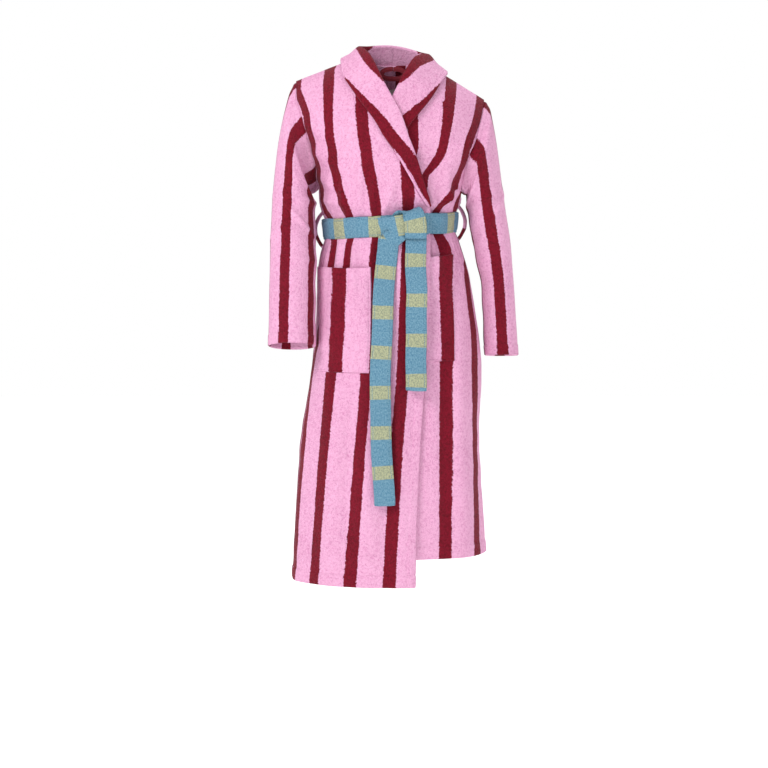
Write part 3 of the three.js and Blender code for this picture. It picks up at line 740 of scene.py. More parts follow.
@dataclass
class Panel:
    """A panel of the robe, between an edge near the middle and a side edge, from its hem to the shoulder."""

    name: str
    edge: Callable[[Array], Array]
    side: Callable[[Array], Array]
    hem: Callable[[Array], Array]
    grain: tuple[GrainLine, ...]
    sink: Callable[[Array, Array], Array]
    top: Callable[[Array], Array] | None = None
    cloth: float = 0.0032
    pitch: float = 0.0046
    hem_depth: float = 0.027
    facing_depth: float = 0.018
    turned_edge: bool = True

    def shares(self, count: int, extra: Sequence[float]) -> Array:
        """Returns even shares from 0 to 1 with some more among them, in rising order."""
        even = np.linspace(0, 1, count)
        keep = [share for share in even if all(abs(share - more) > 0.35 / count for more in extra)]
        return np.array(sorted(set(keep) | set(extra)))

    def rows(self) -> Array:
        """Returns the rows of the panel from the hem up, as shares: 0 at the hem, 1 at the belt, 2 at the
        chest and 3 at the shoulder."""
        skirt_length, bodice_length, yoke_length = 0.80, 0.193, 0.21
        hem = [distance / skirt_length for distance in stitch_rows(self.hem_depth)]
        skirt = self.shares(int(skirt_length / self.pitch), hem)
        bodice = np.linspace(1, 2, int(bodice_length / self.pitch) + 1)[1:]
        yoke = np.linspace(2, 3, int(yoke_length / self.pitch) + 1)[1:]
        return np.concatenate([skirt, bodice, yoke])

    def grid(self) -> tuple[Array, Array]:
        """Lays the panel's grid out on the form.

        Returns:
            The angles and the levels of its points, one row at a time.
        """
        wide, by_edge, narrowest = 0.36, 0.03, 0.06
        shares = self.shares(int(wide / self.pitch), [step / wide for step in stitch_rows(self.facing_depth)])
        angles, levels = [], []
        for row in self.rows():
            low, high = self.edge(row), self.side(row)
            dense = lerp(low, high, np.linspace(0, 1, 240))
            level = self.level(row, dense)
            points = FORM.point(dense, level)
            run = np.concatenate([[0], np.cumsum(np.linalg.norm(np.diff(points, axis=0), axis=1))])
            fixed = shares * wide
            spread = by_edge + (fixed - by_edge) * (run[-1] - by_edge) / (wide - by_edge)
            along = np.where(fixed < by_edge, fixed, spread)
            if not self.turned_edge or run[-1] < narrowest:
                along = shares * run[-1]
            angle = np.interp(along, run, dense)
            angles.append(angle)
            levels.append(self.level(row, angle))
        return np.array(angles), np.array(levels)

    def level(self, row: float, angle: Array) -> Array:
        """Returns the levels of a row at these angles."""
        if row <= 1:
            return lerp(self.hem(angle), BELT_DROP, row)
        if row <= 2:
            return np.full_like(angle, lerp(BELT_DROP, FORM.chest + 1e-5, row - 1))
        top = self.top(angle) if self.top else np.full_like(angle, -1.0)
        return (row - 2) * top

    def across_cloth(self, points: Array) -> Array:
        """Finds how far each point lies across the stripes.

        Args:
            points: the panel's grid of points.

        Returns:
            The distances in metres of cloth, from the grain lines and the arc between them.
        """
        across = np.zeros(points.shape[:2])
        for i, row in enumerate(points):
            run = np.concatenate([[0], np.cumsum(np.linalg.norm(np.diff(row, axis=0), axis=1))])
            found = sorted(item for item in (self.crossing(line, row, run) for line in self.grain) if item)
            places, values = np.array(found).T
            sign = 1.0 if len(values) < 2 or values[-1] > values[0] else -1.0
            inside = np.interp(run, places, values)
            inside = inside + sign * (np.minimum(run - places[0], 0) + np.maximum(run - places[-1], 0))
            across[i] = inside
        return across

    def crossing(self, line: GrainLine, row: Array, run: Array) -> tuple[float, float] | None:
        """Finds where a thread line crosses a row.

        Args:
            line: the thread line.
            row: the row's points.
            run: their distances along the row.

        Returns:
            The distance and the line's place across the cloth, or nothing.
        """
        gap = row[:, 0] - by_height(line.path, row[:, 2])
        crossing = np.nonzero(np.diff(np.sign(gap)))[0]
        if not len(crossing):
            return None
        j = crossing[0]
        share = gap[j] / (gap[j] - gap[j + 1])
        return float(lerp(run[j], run[j + 1], share)), line.across

    def hem_lift(self, points: Array) -> Array:
        """Returns the extra height of the turned hem and front edge, with a groove along their stitching."""
        down = np.linalg.norm(np.diff(points, axis=0), axis=2)
        from_hem = np.concatenate([np.zeros((1, points.shape[1])), np.cumsum(down, 0)])
        lift = self.turned(from_hem, self.hem_depth)
        if self.turned_edge:
            side = np.linalg.norm(np.diff(points, axis=1), axis=2)
            from_edge = np.concatenate([np.zeros((points.shape[0], 1)), np.cumsum(side, 1)], 1)
            lift = np.maximum(lift, self.turned(from_edge, self.facing_depth))
            lift = lift - 0.0013 * bell(from_edge, self.facing_depth, 0.0016)
        return lift - 0.0014 * bell(from_hem, self.hem_depth, 0.0016)

    def turned(self, distance: Array, depth: float) -> Array:
        """Returns the extra height of a turning of some depth at a distance from its edge."""
        turned = 0.0011 * (1 - ease(depth, depth + 0.003, distance))
        return turned + 0.0004 * bell(distance, depth * 0.5, depth * 0.4)

    def build(self) -> bpy.types.Object:
        """Makes the panel."""
        angles, levels = self.grid()
        points = FORM.point(angles, levels)
        normals = FORM.normal(angles, levels)
        base = drape(angles, levels) + self.sink(points[..., 0], levels)
        extra = self.hem_lift(points)
        outer = points + normals * (base + extra)[..., None]
        inner = points + normals * (base - self.cloth - 0.4 * extra)[..., None]
        return Sheet(self.name, outer, inner, self.across_cloth(points), points[..., 2]).build()


def flush(x: Array, level: Array) -> Array:
    """Returns the lift of a panel that lies on the form."""
    return np.zeros_like(x)


def tucked(x: Array, level: Array) -> Array:
    """Returns the lift of the under front: below the outer one, and out to the form past its edge."""
    level = np.asarray(level, float)
    depth = np.where(level > 0, lerp(0.013, 0.008, ease(0.30, 0.7, level)), 0.013)
    return -depth * (1 - ease(0.084, 0.128, x)) * (1 - ease(0.15, 0.5, -level))


@dataclass(frozen=True)
class Pattern:
    """How the panels are cut: their edges, necklines, armholes and hems, in millimetres where they are
    [x, z] lists, and the thread lines that the stripes follow."""

    robe_drop: float = 1.149
    under_drop: float = 1.088
    back_rise: float = 0.059
    neck_half: float = 0.077
    back_neck: float = 0.018
    outer_edge: tuple[float, float] = (0.086, 0.054)
    under_edge: float = -0.070
    right_neck: tuple[tuple[float, float], ...] = (
        (-72, 34), (-60, 16), (-28, -43), (12, -111), (45, -198), (78, -300))
    left_neck: tuple[tuple[float, float], ...] = (
        (82, 16), (76, 8), (46, -11), (18, -61), (-14, -117), (-42, -192), (-66, -300))
    right_armhole: tuple[tuple[float, float], ...] = (
        (-214, -22), (-211, -64), (-202, -95), (-177, -175), (-170, -204), (-166, -250), (-160, -262))
    left_armhole: tuple[tuple[float, float], ...] = (
        (210, -64), (208, -77), (198, -118), (186, -161), (166, -205), (156, -250), (150, -262))
    right_grain: tuple[GrainLine, ...] = (
        GrainLine(-0.0585, ((86, -343), (84, -420), (79, -640), (68, -860), (54, -1149))),
        GrainLine(0.0, (
            (30, -102), (34, -204), (35, -306), (36, -343), (33, -420), (26, -640), (10, -860),
            (-4.5, -1149))),
        GrainLine(STRIPE_PERIOD, (
            (-68, 13), (-65, -102), (-53, -204), (-33, -306), (-32, -343), (-36, -420), (-50, -640),
            (-70, -860), (-92, -1149))),
        GrainLine(2 * STRIPE_PERIOD, (
            (-136, 13), (-141, -102), (-128, -204), (-97, -306), (-90, -343), (-98, -420), (-126, -640),
            (-150, -860), (-176, -1149))),
        GrainLine(3 * STRIPE_PERIOD, (
            (-213, -40), (-187, -102), (-165, -204), (-143, -306), (-130, -343), (-125, -390),
            (-154, -560), (-172, -640), (-200, -860), (-219, -1149))),
    )
    left_grain: tuple[GrainLine, ...] = (
        GrainLine(-STRIPE_PERIOD, (
            (14, 0), (48, -93), (52, -168), (40, -260), (20, -343), (-20, -500), (-48, -1100))),
        GrainLine(0.0, (
            (138, 0), (136, -18), (129, -84), (121, -145), (113, -184), (89, -222), (73, -245),
            (62, -300), (60, -343), (50, -500), (38, -1100))),
        GrainLine(STRIPE_PERIOD, (
            (204, -60), (202, -68), (188, -120), (166, -170), (155, -209), (141, -247), (107, -304),
            (101, -325), (104, -343), (106, -363), (119, -413), (122, -454), (122, -1100))),
        GrainLine(2 * STRIPE_PERIOD, (
            (228, -60), (208, -130), (182, -200), (162, -240), (147, -272), (140, -297), (142, -343),
            (155, -365), (168, -443), (176, -511), (187, -600), (190, -800), (194, -1100))),
    )

    def neck_angle(self, neck: Sequence[Sequence[float]], edge: float, row: float) -> float:
        """Returns the angle of a front's inner edge on a row: its neckline, or its edge below the belt."""
        level = row_level(row, self.robe_drop)
        straight_to, neck_from = 1.12, 1.3
        if row <= straight_to:
            return float(FORM.angle_at(edge, level))
        x = float(neck[-1][0]) * MM
        for _ in range(20):
            z = float(FORM.point(FORM.angle_at(x, level), level)[2])
            x = float(by_height(neck, z))
        blend = float(ease(straight_to, neck_from, row))
        return float(FORM.angle_at(lerp(edge, x, blend), level))

    def side_angle(self, side: Side, row: float) -> float:
        """Returns the angle of a panel's outer edge on a row: its side seam or its armhole."""
        armhole = self.right_armhole if side is Side.RIGHT else self.left_armhole
        level = row_level(row, self.robe_drop)
        seam = math.pi if side is Side.RIGHT else 0.0
        if row < 1.3:
            return seam
        x = side.value * 0.2
        for _ in range(20):
            z = float(FORM.point(FORM.angle_at(x, level), level)[2])
            x = float(by_height(armhole, z))
        return float(FORM.angle_at(x, level))

    def outer_front(self) -> Panel:
        """Returns the right front, which laps over the other one."""
        def edge(row: float) -> float:
            """Returns the front edge's angle on a row."""
            low, high = self.outer_edge
            x = lerp(high, low, float(ease(0.0, 1.0, row)))
            return self.neck_angle(self.right_neck, x, row)
        return Panel("right_front", edge, lambda row: self.side_angle(Side.RIGHT, row),
                     lambda angle: np.full_like(angle, self.robe_drop), self.right_grain, flush)

    def under_front(self) -> Panel:
        """Returns the left front, with its shorter hem."""
        return Panel("left_front", lambda row: self.neck_angle(self.left_neck, self.under_edge, row),
                     lambda row: self.side_angle(Side.LEFT, row),
                     lambda angle: np.full_like(angle, self.under_drop), self.left_grain, tucked)

    def back(self) -> "BackPanel":
        """Returns the back, whose hem climbs to the left."""
        def hem(angle: Array) -> Array:
            """Returns the hem's drop."""
            return self.robe_drop - self.back_rise * (0.5 + 0.5 * np.cos(angle))
        def top(angle: Array) -> Array:
            """Returns the level of the neckline, and of the shoulder line beside it."""
            x = FORM.point(angle, 0.0)[..., 0]
            off = np.minimum(1.0, np.abs(x - FORM.middle) / self.neck_half)
            dip = lerp(self.back_neck, FORM.shoulder(x), off ** 4)
            return np.where(off < 1, FORM.level_at(x, dip), -1.0)
        return BackPanel("back_panel_cloth", lambda row: -self.side_angle(Side.LEFT, row),
                         lambda row: -self.side_angle(Side.RIGHT, row), hem, (), flush, top,
                         turned_edge=False)


def row_level(row: float, hem: float) -> float:
    """Returns the level of a row on a panel with this hem drop."""
    if row <= 1:
        return lerp(hem, BELT_DROP, row)
    if row <= 2:
        return lerp(BELT_DROP, FORM.chest + 1e-5, row - 1)
    return -(row - 2)


@dataclass
class BackPanel(Panel):
    """The back, whose stripes spread evenly from its middle to its side seams."""

    half_cloth: float = 0.318
    middle_across: float = 0.030

    def across_cloth(self, points: Array) -> Array:
        """Returns how far across the cloth each point lies: the same share of the way from the middle to the
        side seams on every row, and straight up from the chest."""
        angles, levels = self.grid()
        across = np.zeros(angles.shape)
        for i, (angle, level) in enumerate(zip(angles, np.maximum(levels, FORM.chest).mean(axis=1))):
            for seam, sign in ((0.0, -1.0), (-math.pi, 1.0)):
                dense = np.linspace(-math.pi / 2, seam, 120)
                row = FORM.point(dense, level)
                run = np.concatenate([[0], np.cumsum(np.linalg.norm(np.diff(row, axis=0), axis=1))])
                order = np.argsort(dense)
                share = np.interp(angle, dense[order], run[order] / run[-1])
                here = (angle > -math.pi / 2) == (seam > -math.pi / 2)
                across[i] = np.where(here, sign * share * self.half_cloth, across[i])
        return across + self.middle_across


# ---- Pockets ----------------------------------------------------------------------------------------------
@dataclass
class Pocket:
    """A patch pocket: sewn down at its sides and its bottom, with a hemmed mouth."""

    name: str
    body_panel: Panel
    top: float
    low_x: float
    high_x: float
    first_stripe: float
    slant: float
    height: float = 0.232
    hem_depth: float = 0.027
    cloth: float = 0.0032
    pitch: float = 0.0036

    def build(self) -> bpy.types.Object:
        """Makes the pocket over its panel's own folds."""
        width = self.high_x - self.low_x
        near = [0.0012, 0.0026, 0.0040, 0.0054]
        xs = self.steps(width, near)
        stitch = [self.height - self.hem_depth + step for step in (-0.0022, -0.001, 0, 0.001, 0.0022)]
        ys = self.steps(self.height, near, stitch)
        x, up = np.meshgrid(self.low_x + xs, ys)
        bow = 0.0030 * np.sin(np.pi * (x - self.low_x) / width)
        level = self.top + self.height - up + bow * (up / self.height)
        angle = FORM.angle_at(x, level)
        side = np.minimum(x - self.low_x, self.high_x - x)
        sewn = np.minimum(side, up)
        base = drape(angle, level) * 0.8 + 0.0004 + self.body_panel.sink(x, level)
        bulge = 0.0030 * ease(0.0, 0.04, sewn) + 0.0040 * ease(0.10, 0.232, up) * ease(0.0, 0.035, side)
        lift = base + 0.0012 + self.cloth + bulge
        lift = lift - 0.0014 * bell(sewn, 0.0040, 0.0013) - 0.0012 * (1 - ease(0.0, 0.0016, sewn))
        from_top = self.height - up
        lift = lift + 0.0012 * (1 - ease(self.hem_depth, self.hem_depth + 0.003, from_top))
        lift = lift - 0.0015 * bell(from_top, self.hem_depth, 0.0015)
        lift = lift + 0.0012 * ripple(up + 0.5 * x, 0.083, 1.1) * ease(0, 0.03, sewn)
        points, normals = FORM.point(angle, level), FORM.normal(angle, level)
        outer = points + normals * lift[..., None]
        inner = points + normals * (lift - self.cloth)[..., None]
        across = x - self.first_stripe + self.slant * (up / self.height - 0.5)
        return Sheet(self.name, outer, inner, across, points[..., 2]).build()

    def steps(self, length: float, near: Sequence[float], more: Sequence[float] = ()) -> Array:
        """Returns even steps along a length, with closer ones at its ends and wherever more are asked for."""
        even = np.linspace(0, length, int(length / self.pitch) + 1)
        extra = [*near, *(length - step for step in near), *more]
        keep = [step for step in even if all(abs(step - other) > 0.0011 for other in extra)]
        return np.array(sorted([*keep, *extra]))


# ---- Collar -----------------------------------------------------------------------------------------------
@dataclass
class CollarHalf:
    """One half of the shawl collar: a folded sheet that stands up from the neck seam, rolls over and falls
    flat onto the shoulder and the front."""

    name: str
    side: Side
    roll: tuple[tuple[float, float], ...]
    lapel: tuple[tuple[float, float], ...]
    sink: Callable[[Array, Array], Array]
    stripe_at: tuple[tuple[float, float], ...]
    cloth: float = 0.0058
    pitch: float = 0.0042
    stitch_in: float = 0.007

    def neck_stations(self) -> list[tuple]:
        """Returns the stations round the back of the neck, from its middle to the shoulder line."""
        return [
            ((0.000, -0.43), (0.000, -0.165), (0.000, -0.480), 0.022, 0.006),
            ((0.022, -0.41), (0.022, -0.160), (0.034, -0.470), 0.022, 0.006),
            ((0.046, -0.33), (0.044, -0.120), (0.070, -0.410), 0.021, 0.007),
            ((0.066, -0.18), (0.060, -0.060), (0.098, -0.250), 0.021, 0.008),
            ((0.078, 0.00), (0.066, 0.010), (0.114, -0.050), 0.020, 0.009),
        ]

    def stations(self) -> Array:
        """Returns all stations as rows of eight numbers: the seam's, the roll's and the edge's X and arch,
        and the roll's and the fall's height over the form."""
        rows = []
        for seam, roll, edge, stand, fall in self.neck_stations():
            flat = [*seam, *roll, *edge]
            flat[0::2] = [FORM.middle + self.side.value * x for x in flat[0::2]]
            rows.append([*flat, stand, fall])
        for i, ((rx, rz), (ex, ez)) in enumerate(zip(self.roll, self.lapel)):
            rx, rz, ex, ez = rx * MM, rz * MM, ex * MM, ez * MM
            sx = rx + self.side.value * lerp(0.020, 0.004, min(1.0, i / 4))
            arch = [float(FORM.arch_of(FORM.level_at(x, z))) for x, z in ((sx, rz), (rx, rz), (ex, ez))]
            stand = lerp(0.016, 0.0075, min(1.0, i / 2))
            rows.append([sx, arch[0], rx, arch[1], ex, arch[2], stand, 0.0065])
        return np.array(rows)

    def place(self, x: Array, arch: Array, lift: Array, own: Array) -> Array:
        """Returns points over the form at these places.

        Args:
            x: their X.
            arch: their arch values.
            lift: how far each stands off the cloth below.
            own: 1 where the collar follows the folds of the cloth below, 0 where it doesn't.

        Returns:
            The points.
        """
        angle, level = FORM.over(x, arch)
        base = drape(angle, level) * own + self.sink(x, level)
        return FORM.point(angle, level) + FORM.normal(angle, level) * (lift + base)[..., None]

    def build(self) -> bpy.types.Object:
        """Makes the collar half from its middle surface: from the seam, over the roll, to the edge."""
        keys = self.stations()
        ends = np.linalg.norm(np.diff(keys[:, 2:4] * [1.0, 0.21], axis=0), axis=1)
        far = np.concatenate([[0], np.cumsum(np.maximum(ends, 0.01))])
        count = int(far[-1] / self.pitch)
        at = np.linspace(0, far[-1], count)
        values = np.stack([curve(list(zip(far, column)), at) for column in keys.T], 1)
        reach = 6  # stations on each side that a station is averaged with
        kernel = np.hanning(2 * reach + 1) / np.hanning(2 * reach + 1).sum()
        before, after = 2 * values[:1] - values[reach:0:-1], 2 * values[-1:] - values[-2:-2 - reach:-1]
        padded = np.concatenate([before, values, after])
        values = np.stack([np.convolve(column, kernel, "valid") for column in padded.T], 1)
        seam, roll, edge = values[:, 0:2], values[:, 2:4], values[:, 4:6]
        stand, fall = values[:, 6:7], values[:, 7:8]
        up = np.linspace(0, 1, 9)[None, :-1]
        width, edge_band = 0.080, 0.012
        near_edge = np.array([0.0092, 0.0082, 0.0070, 0.0058, 0.0048, 0.0022, 0.0])
        down_at = np.concatenate([np.linspace(0, 1 - edge_band / width, 19), 1 - near_edge / width])[None, :]
        rise = self.leaf(seam, roll, up, 0.0034 + (stand - 0.0034) * ease(0.1, 1.0, up) ** 1.3 - 0.0025 * up)
        settle = fall + (stand - fall) * (1 - ease(0.0, 0.72, down_at)) ** 1.2
        settle = settle + 0.004 * np.sin(np.pi * down_at) * ease(0.35, 0.0, at / far[-1])[:, None]
        drop = self.leaf(roll, edge, down_at, settle)
        middle = np.concatenate([rise, drop], 1)
        middle = self.smooth(middle, len(up[0]))
        thick = np.full(middle.shape[:2], self.cloth)
        groove = bell(down_at, 1 - self.stitch_in / width, 0.0016 / width)
        thick[:, len(up[0]):] -= 0.0016 * groove
        thick[:, :len(up[0])] = self.cloth * 0.6
        normals = self.normals(middle)
        outer, inner = middle + normals * (thick / 2)[..., None], middle - normals * (thick / 2)[..., None]
        across = self.stripes(middle, at / far[-1])
        along = np.repeat(at[:, None], middle.shape[1], 1)
        return Sheet(self.name, outer, inner, across, along).build()

    def leaf(self, start: Array, end: Array, share: Array, lift: Array) -> Array:
        """Returns one leaf of the fold, from start to end at these shares of the way and lifts."""
        x = lerp(start[:, :1], end[:, :1], share)
        arch = lerp(start[:, 1:2], end[:, 1:2], share)
        own = ease(0.2, 0.45, np.abs(arch)) + 0 * x
        return self.place(x, arch, lift + 0 * x, own)

    def smooth(self, middle: Array, turn: int) -> Array:
        """Rounds the roll off by averaging the points near the turn with their neighbours."""
        result = middle.copy()
        for _ in range(6):
            near = bell(np.arange(middle.shape[1]), turn, 4.0)[None, 1:-1, None]
            mean = (result[:, :-2] + result[:, 2:]) / 2
            result[:, 1:-1] = lerp(result[:, 1:-1], mean, near * 0.8)
        return result

    def normals(self, middle: Array) -> Array:
        """Returns the directions out of the fold's outer face."""
        down = np.gradient(middle, axis=1)
        along = np.gradient(middle, axis=0)
        return unit(np.cross(down, along)) * -self.side.value

    def stripes(self, middle: Array, share: Array) -> Array:
        """Returns how far across the cloth each point lies, from where the stripe by the outer edge runs."""
        step = np.linalg.norm(np.diff(middle, axis=1), axis=2)
        run = np.concatenate([np.zeros((len(middle), 1)), np.cumsum(step, 1)], 1)
        from_edge = run[:, -1:] - run
        return from_edge - curve(self.stripe_at, share)[:, None]


# ---- Sleeves ----------------------------------------------------------------------------------------------
@dataclass
class Sleeve:
    """A long straight sleeve: a tube from the armhole seam to a turned cuff hem."""

    name: str
    side: Side
    cuff_drop: float
    outer_x: Knots
    inner_x: Knots
    axis_y: Knots
    cuff_tilt: float
    armhole: tuple[tuple[float, float], ...]
    stripe_at: Knots
    folds: tuple[tuple[float, float, float, float, float], ...]
    depth: float = 0.118
    top_depth: float = 0.176
    join_end: float = 0.24
    cloth: float = 0.0032
    hem_depth: float = 0.026
    pitch: float = 0.0046

    def armhole_loop(self, turn: Array) -> Array:
        """Returns the points of the armhole seam.

        Args:
            turn: angles round the sleeve, 0 at the shoulder tip, positive towards the back.

        Returns:
            The points on the robe's body.
        """
        top, bottom = self.armhole[0][1] * MM, self.armhole[-1][1] * MM
        share = 0.5 - 0.5 * np.cos(turn)
        z = lerp(top, bottom, share ** 0.92)
        x = by_height(self.armhole, z)
        level = np.minimum(FORM.level_at(x, z), -bottom)
        angle = FORM.angle_at(x, level)
        back = np.sin(turn) > 0
        point = FORM.point(np.where(back, -angle, angle), level)
        tip = bell(np.sin(turn / 2), 0.0, 0.12)
        point[..., 1] = lerp(point[..., 1], FORM.shoulder_back, 0.6 * tip)
        foot = bell(np.cos(turn / 2), 0.0, 0.10)
        point[..., 1] = lerp(point[..., 1], 0.0, foot)
        return point

    def tube(self, share: Array, turn: Array) -> Array:
        """Returns points of the plain tube, at shares of the way down and angles round."""
        sign = self.side.value
        start, top, bottom = 0.190, -0.035, -0.235
        outer = sign * curve(((0.0, start), *self.outer_x), share)
        inner = sign * curve(((0.0, start), *self.inner_x), share)
        a_z = lerp(top, -self.cuff_drop, share)
        b_z = lerp(bottom, -self.cuff_drop, share ** 1.3)
        forward = curve(((0.0, 0.0), *self.axis_y), share)
        middle = np.stack([(outer + inner) / 2, forward, (a_z + b_z) / 2], -1)
        reach = np.stack([(outer - inner) / 2, 0 * share, (a_z - b_z) / 2], -1)
        half = lerp(self.top_depth / 2, self.depth / 2, ease(0.0, 0.5, share))
        back = np.stack([0 * share, half, -self.cuff_tilt / 2 * share], -1)
        return middle + reach * np.cos(turn)[..., None] + back * np.sin(turn)[..., None]

    def surface(self, share: Array, turn: Array) -> Array:
        """Returns the sleeve's plain surface, from the armhole seam into the tube."""
        join = ease(0.0, self.join_end, share)[..., None]
        loop = self.armhole_loop(turn)
        push = np.array([self.side.value * 0.042, 0.0, -0.085]) * (share / self.join_end)[..., None]
        crown = np.array([self.side.value * 0.003, 0.0, 0.0]) * (
            bell(share, 0.055, 0.05) * ease(-0.2, 1.0, np.cos(turn)))[..., None]
        return lerp(loop + push * (1 - 0.5 * join), self.tube(share, turn), join) + crown

    def build(self) -> bpy.types.Object:
        """Makes the sleeve, with its creases, its turned hem and the groove of its stitching."""
        length = self.cuff_drop - 0.03
        hem = stitch_rows(self.hem_depth)
        even = np.linspace(0, 1, int(length / self.pitch))
        extra = [1 - step / length for step in hem] + [0.004, 0.009]
        shares = np.array(sorted([s for s in even if all(abs(s - e) > 0.0025 for e in extra)] + extra))
        turns = np.linspace(0, 2 * math.pi, 96, endpoint=False)
        share, turn = np.meshgrid(shares, turns, indexing="ij")
        points = self.surface(share, turn)
        along = np.gradient(points, shares, axis=0)
        wrap = np.concatenate([points[:, -1:], points, points[:, :1]], 1)
        across = (wrap[:, 2:] - wrap[:, :-2]) / 2
        normals = unit(np.cross(along, across)) * self.side.value
        outwards = points - points.mean(axis=1, keepdims=True)
        normals *= np.sign(np.einsum("ijk,ijk->ij", normals, outwards).sum())
        from_cuff = (1 - share) * length
        lift = sum(self.crease(share, turn, *fold) for fold in self.folds)
        slow = ripple(share * length, 0.11, 0.4) * ripple(turn / 6.3, 0.5, 1.3)
        lift = lift + 0.0016 * slow * ease(0.1, 0.3, share)
        extra = 0.0011 * (1 - ease(self.hem_depth, self.hem_depth + 0.003, from_cuff))
        extra = extra - 0.0014 * bell(from_cuff, self.hem_depth, 0.0016)
        extra = extra + 0.0010 * bell(share, 0.022, 0.010) - 0.0040 * (1 - ease(0.0, 0.012, share))
        points = points - self.tuck(share)
        outer = points + normals * (lift + extra)[..., None]
        inner = points + normals * (lift - self.cloth - 0.4 * extra)[..., None]
        girth = np.linalg.norm(across, axis=2)
        run = np.cumsum(girth, 1) - girth[:, :1]
        share_round = run / (run[:, -1:] + girth[:, -1:])
        whole_stripes = STRIPE_PERIOD * np.round(run[:, -1:].mean() / STRIPE_PERIOD)
        stripes = share_round * whole_stripes - curve(self.stripe_at, share)
        return Sheet(self.name, outer, inner, stripes, -share * length, wraps=True).build()

    def tuck(self, share: Array) -> Array:
        """Returns how far the first rows reach in under the armhole's edge, as the seam allowance does."""
        inwards = np.array([self.side.value, 0.0, 0.0])
        return inwards * (0.007 * (1 - ease(0.0, 0.010, share)))[..., None]

    def crease(self, share: Array, turn: Array, at: float, facing: float, slope: float, width: float,
               height: float) -> Array:
        """Returns the lift of one crease that runs part of the way round the sleeve."""
        off = (turn - facing + math.pi) % (2 * math.pi) - math.pi
        return height * bell(share - at - slope * off, 0.0, width) * bell(off, 0.0, 0.9)


# ---- Belt -------------------------------------------------------------------------------------------------
@dataclass
class Strip:
    """A flat strip of cloth along a route: its middle line, the direction across it, and its width."""

    name: str
    middle: Array
    across: Array
    width: float
    cloth: float
    first_block: float = 0.0
    stitch_in: float = 0.0045
    columns: int = 17
    bulge: float = 0.0010
    mirror: float = 1.0
    stripes_cross: bool = False

    def build(self) -> bpy.types.Object:
        """Makes the strip, a little thicker in its middle, with a groove along each line of stitching."""
        run = np.concatenate([[0], np.cumsum(np.linalg.norm(np.diff(self.middle, axis=0), axis=1))])
        half = self.width / 2
        near = [0.0, 0.0010, self.stitch_in - 0.0011, self.stitch_in, self.stitch_in + 0.0011]
        inner = np.linspace(self.stitch_in + 0.0026, self.width - self.stitch_in - 0.0026, self.columns)
        steps = np.array(sorted([*near, *inner, *(self.width - step for step in near)])) - half
        along = np.gradient(self.middle, axis=0)
        across = unit(self.across - along * (np.einsum("ij,ij->i", self.across, along)
                                            / np.einsum("ij,ij->i", along, along))[:, None])
        out = unit(np.cross(along, across)) * self.mirror
        centre = self.middle[:, None] + across[:, None] * steps[None, :, None]
        to_edge = half - np.abs(steps)
        lift = self.bulge * ease(0, 0.010, to_edge) - 0.0007 * bell(to_edge, self.stitch_in, 0.0009)
        lift = lift - self.cloth * 0.22 * (1 - ease(0, 0.0010, to_edge))
        lift = lift[None, :] + 0.0004 * ripple(run[:, None] + 0.6 * steps[None, :], 0.021, 0.9)
        outer = centre + out[:, None] * (self.cloth / 2 + lift)[..., None]
        inner = centre - out[:, None] * (self.cloth / 2 + lift * 0.5)[..., None]
        places = np.repeat(run[:, None], len(steps), 1) - self.first_block
        maps = [np.repeat(steps[None, :], len(run), 0), places]
        if self.stripes_cross:
            maps.reverse()
        return Sheet(self.name, outer, inner, *maps).build()


def path(points: Sequence[Sequence[float]], pitch: float = 0.0035) -> tuple[Array, Array]:
    """Reads a smooth route through points.

    Args:
        points: rows of X, Y and Z in metres, and any further values that go with them.
        pitch: the distance between the route's points.

    Returns:
        The route's points, and the further values there.
    """
    table = np.array(points, float)
    for _ in range(4):
        first, last = table[:1], table[-1:]
        left, right = table[:-1] * 0.75 + table[1:] * 0.25, table[:-1] * 0.25 + table[1:] * 0.75
        table = np.concatenate([first, np.stack([left, right], 1).reshape(-1, table.shape[1]), last])
    run = np.concatenate([[0], np.cumsum(np.linalg.norm(np.diff(table[:, :3], axis=0), axis=1))])
    at = np.linspace(0, run[-1], max(8, int(run[-1] / pitch)))
    result = np.stack([np.interp(at, run, column) for column in table.T], 1)
    return result[:, :3], result[:, 3:]


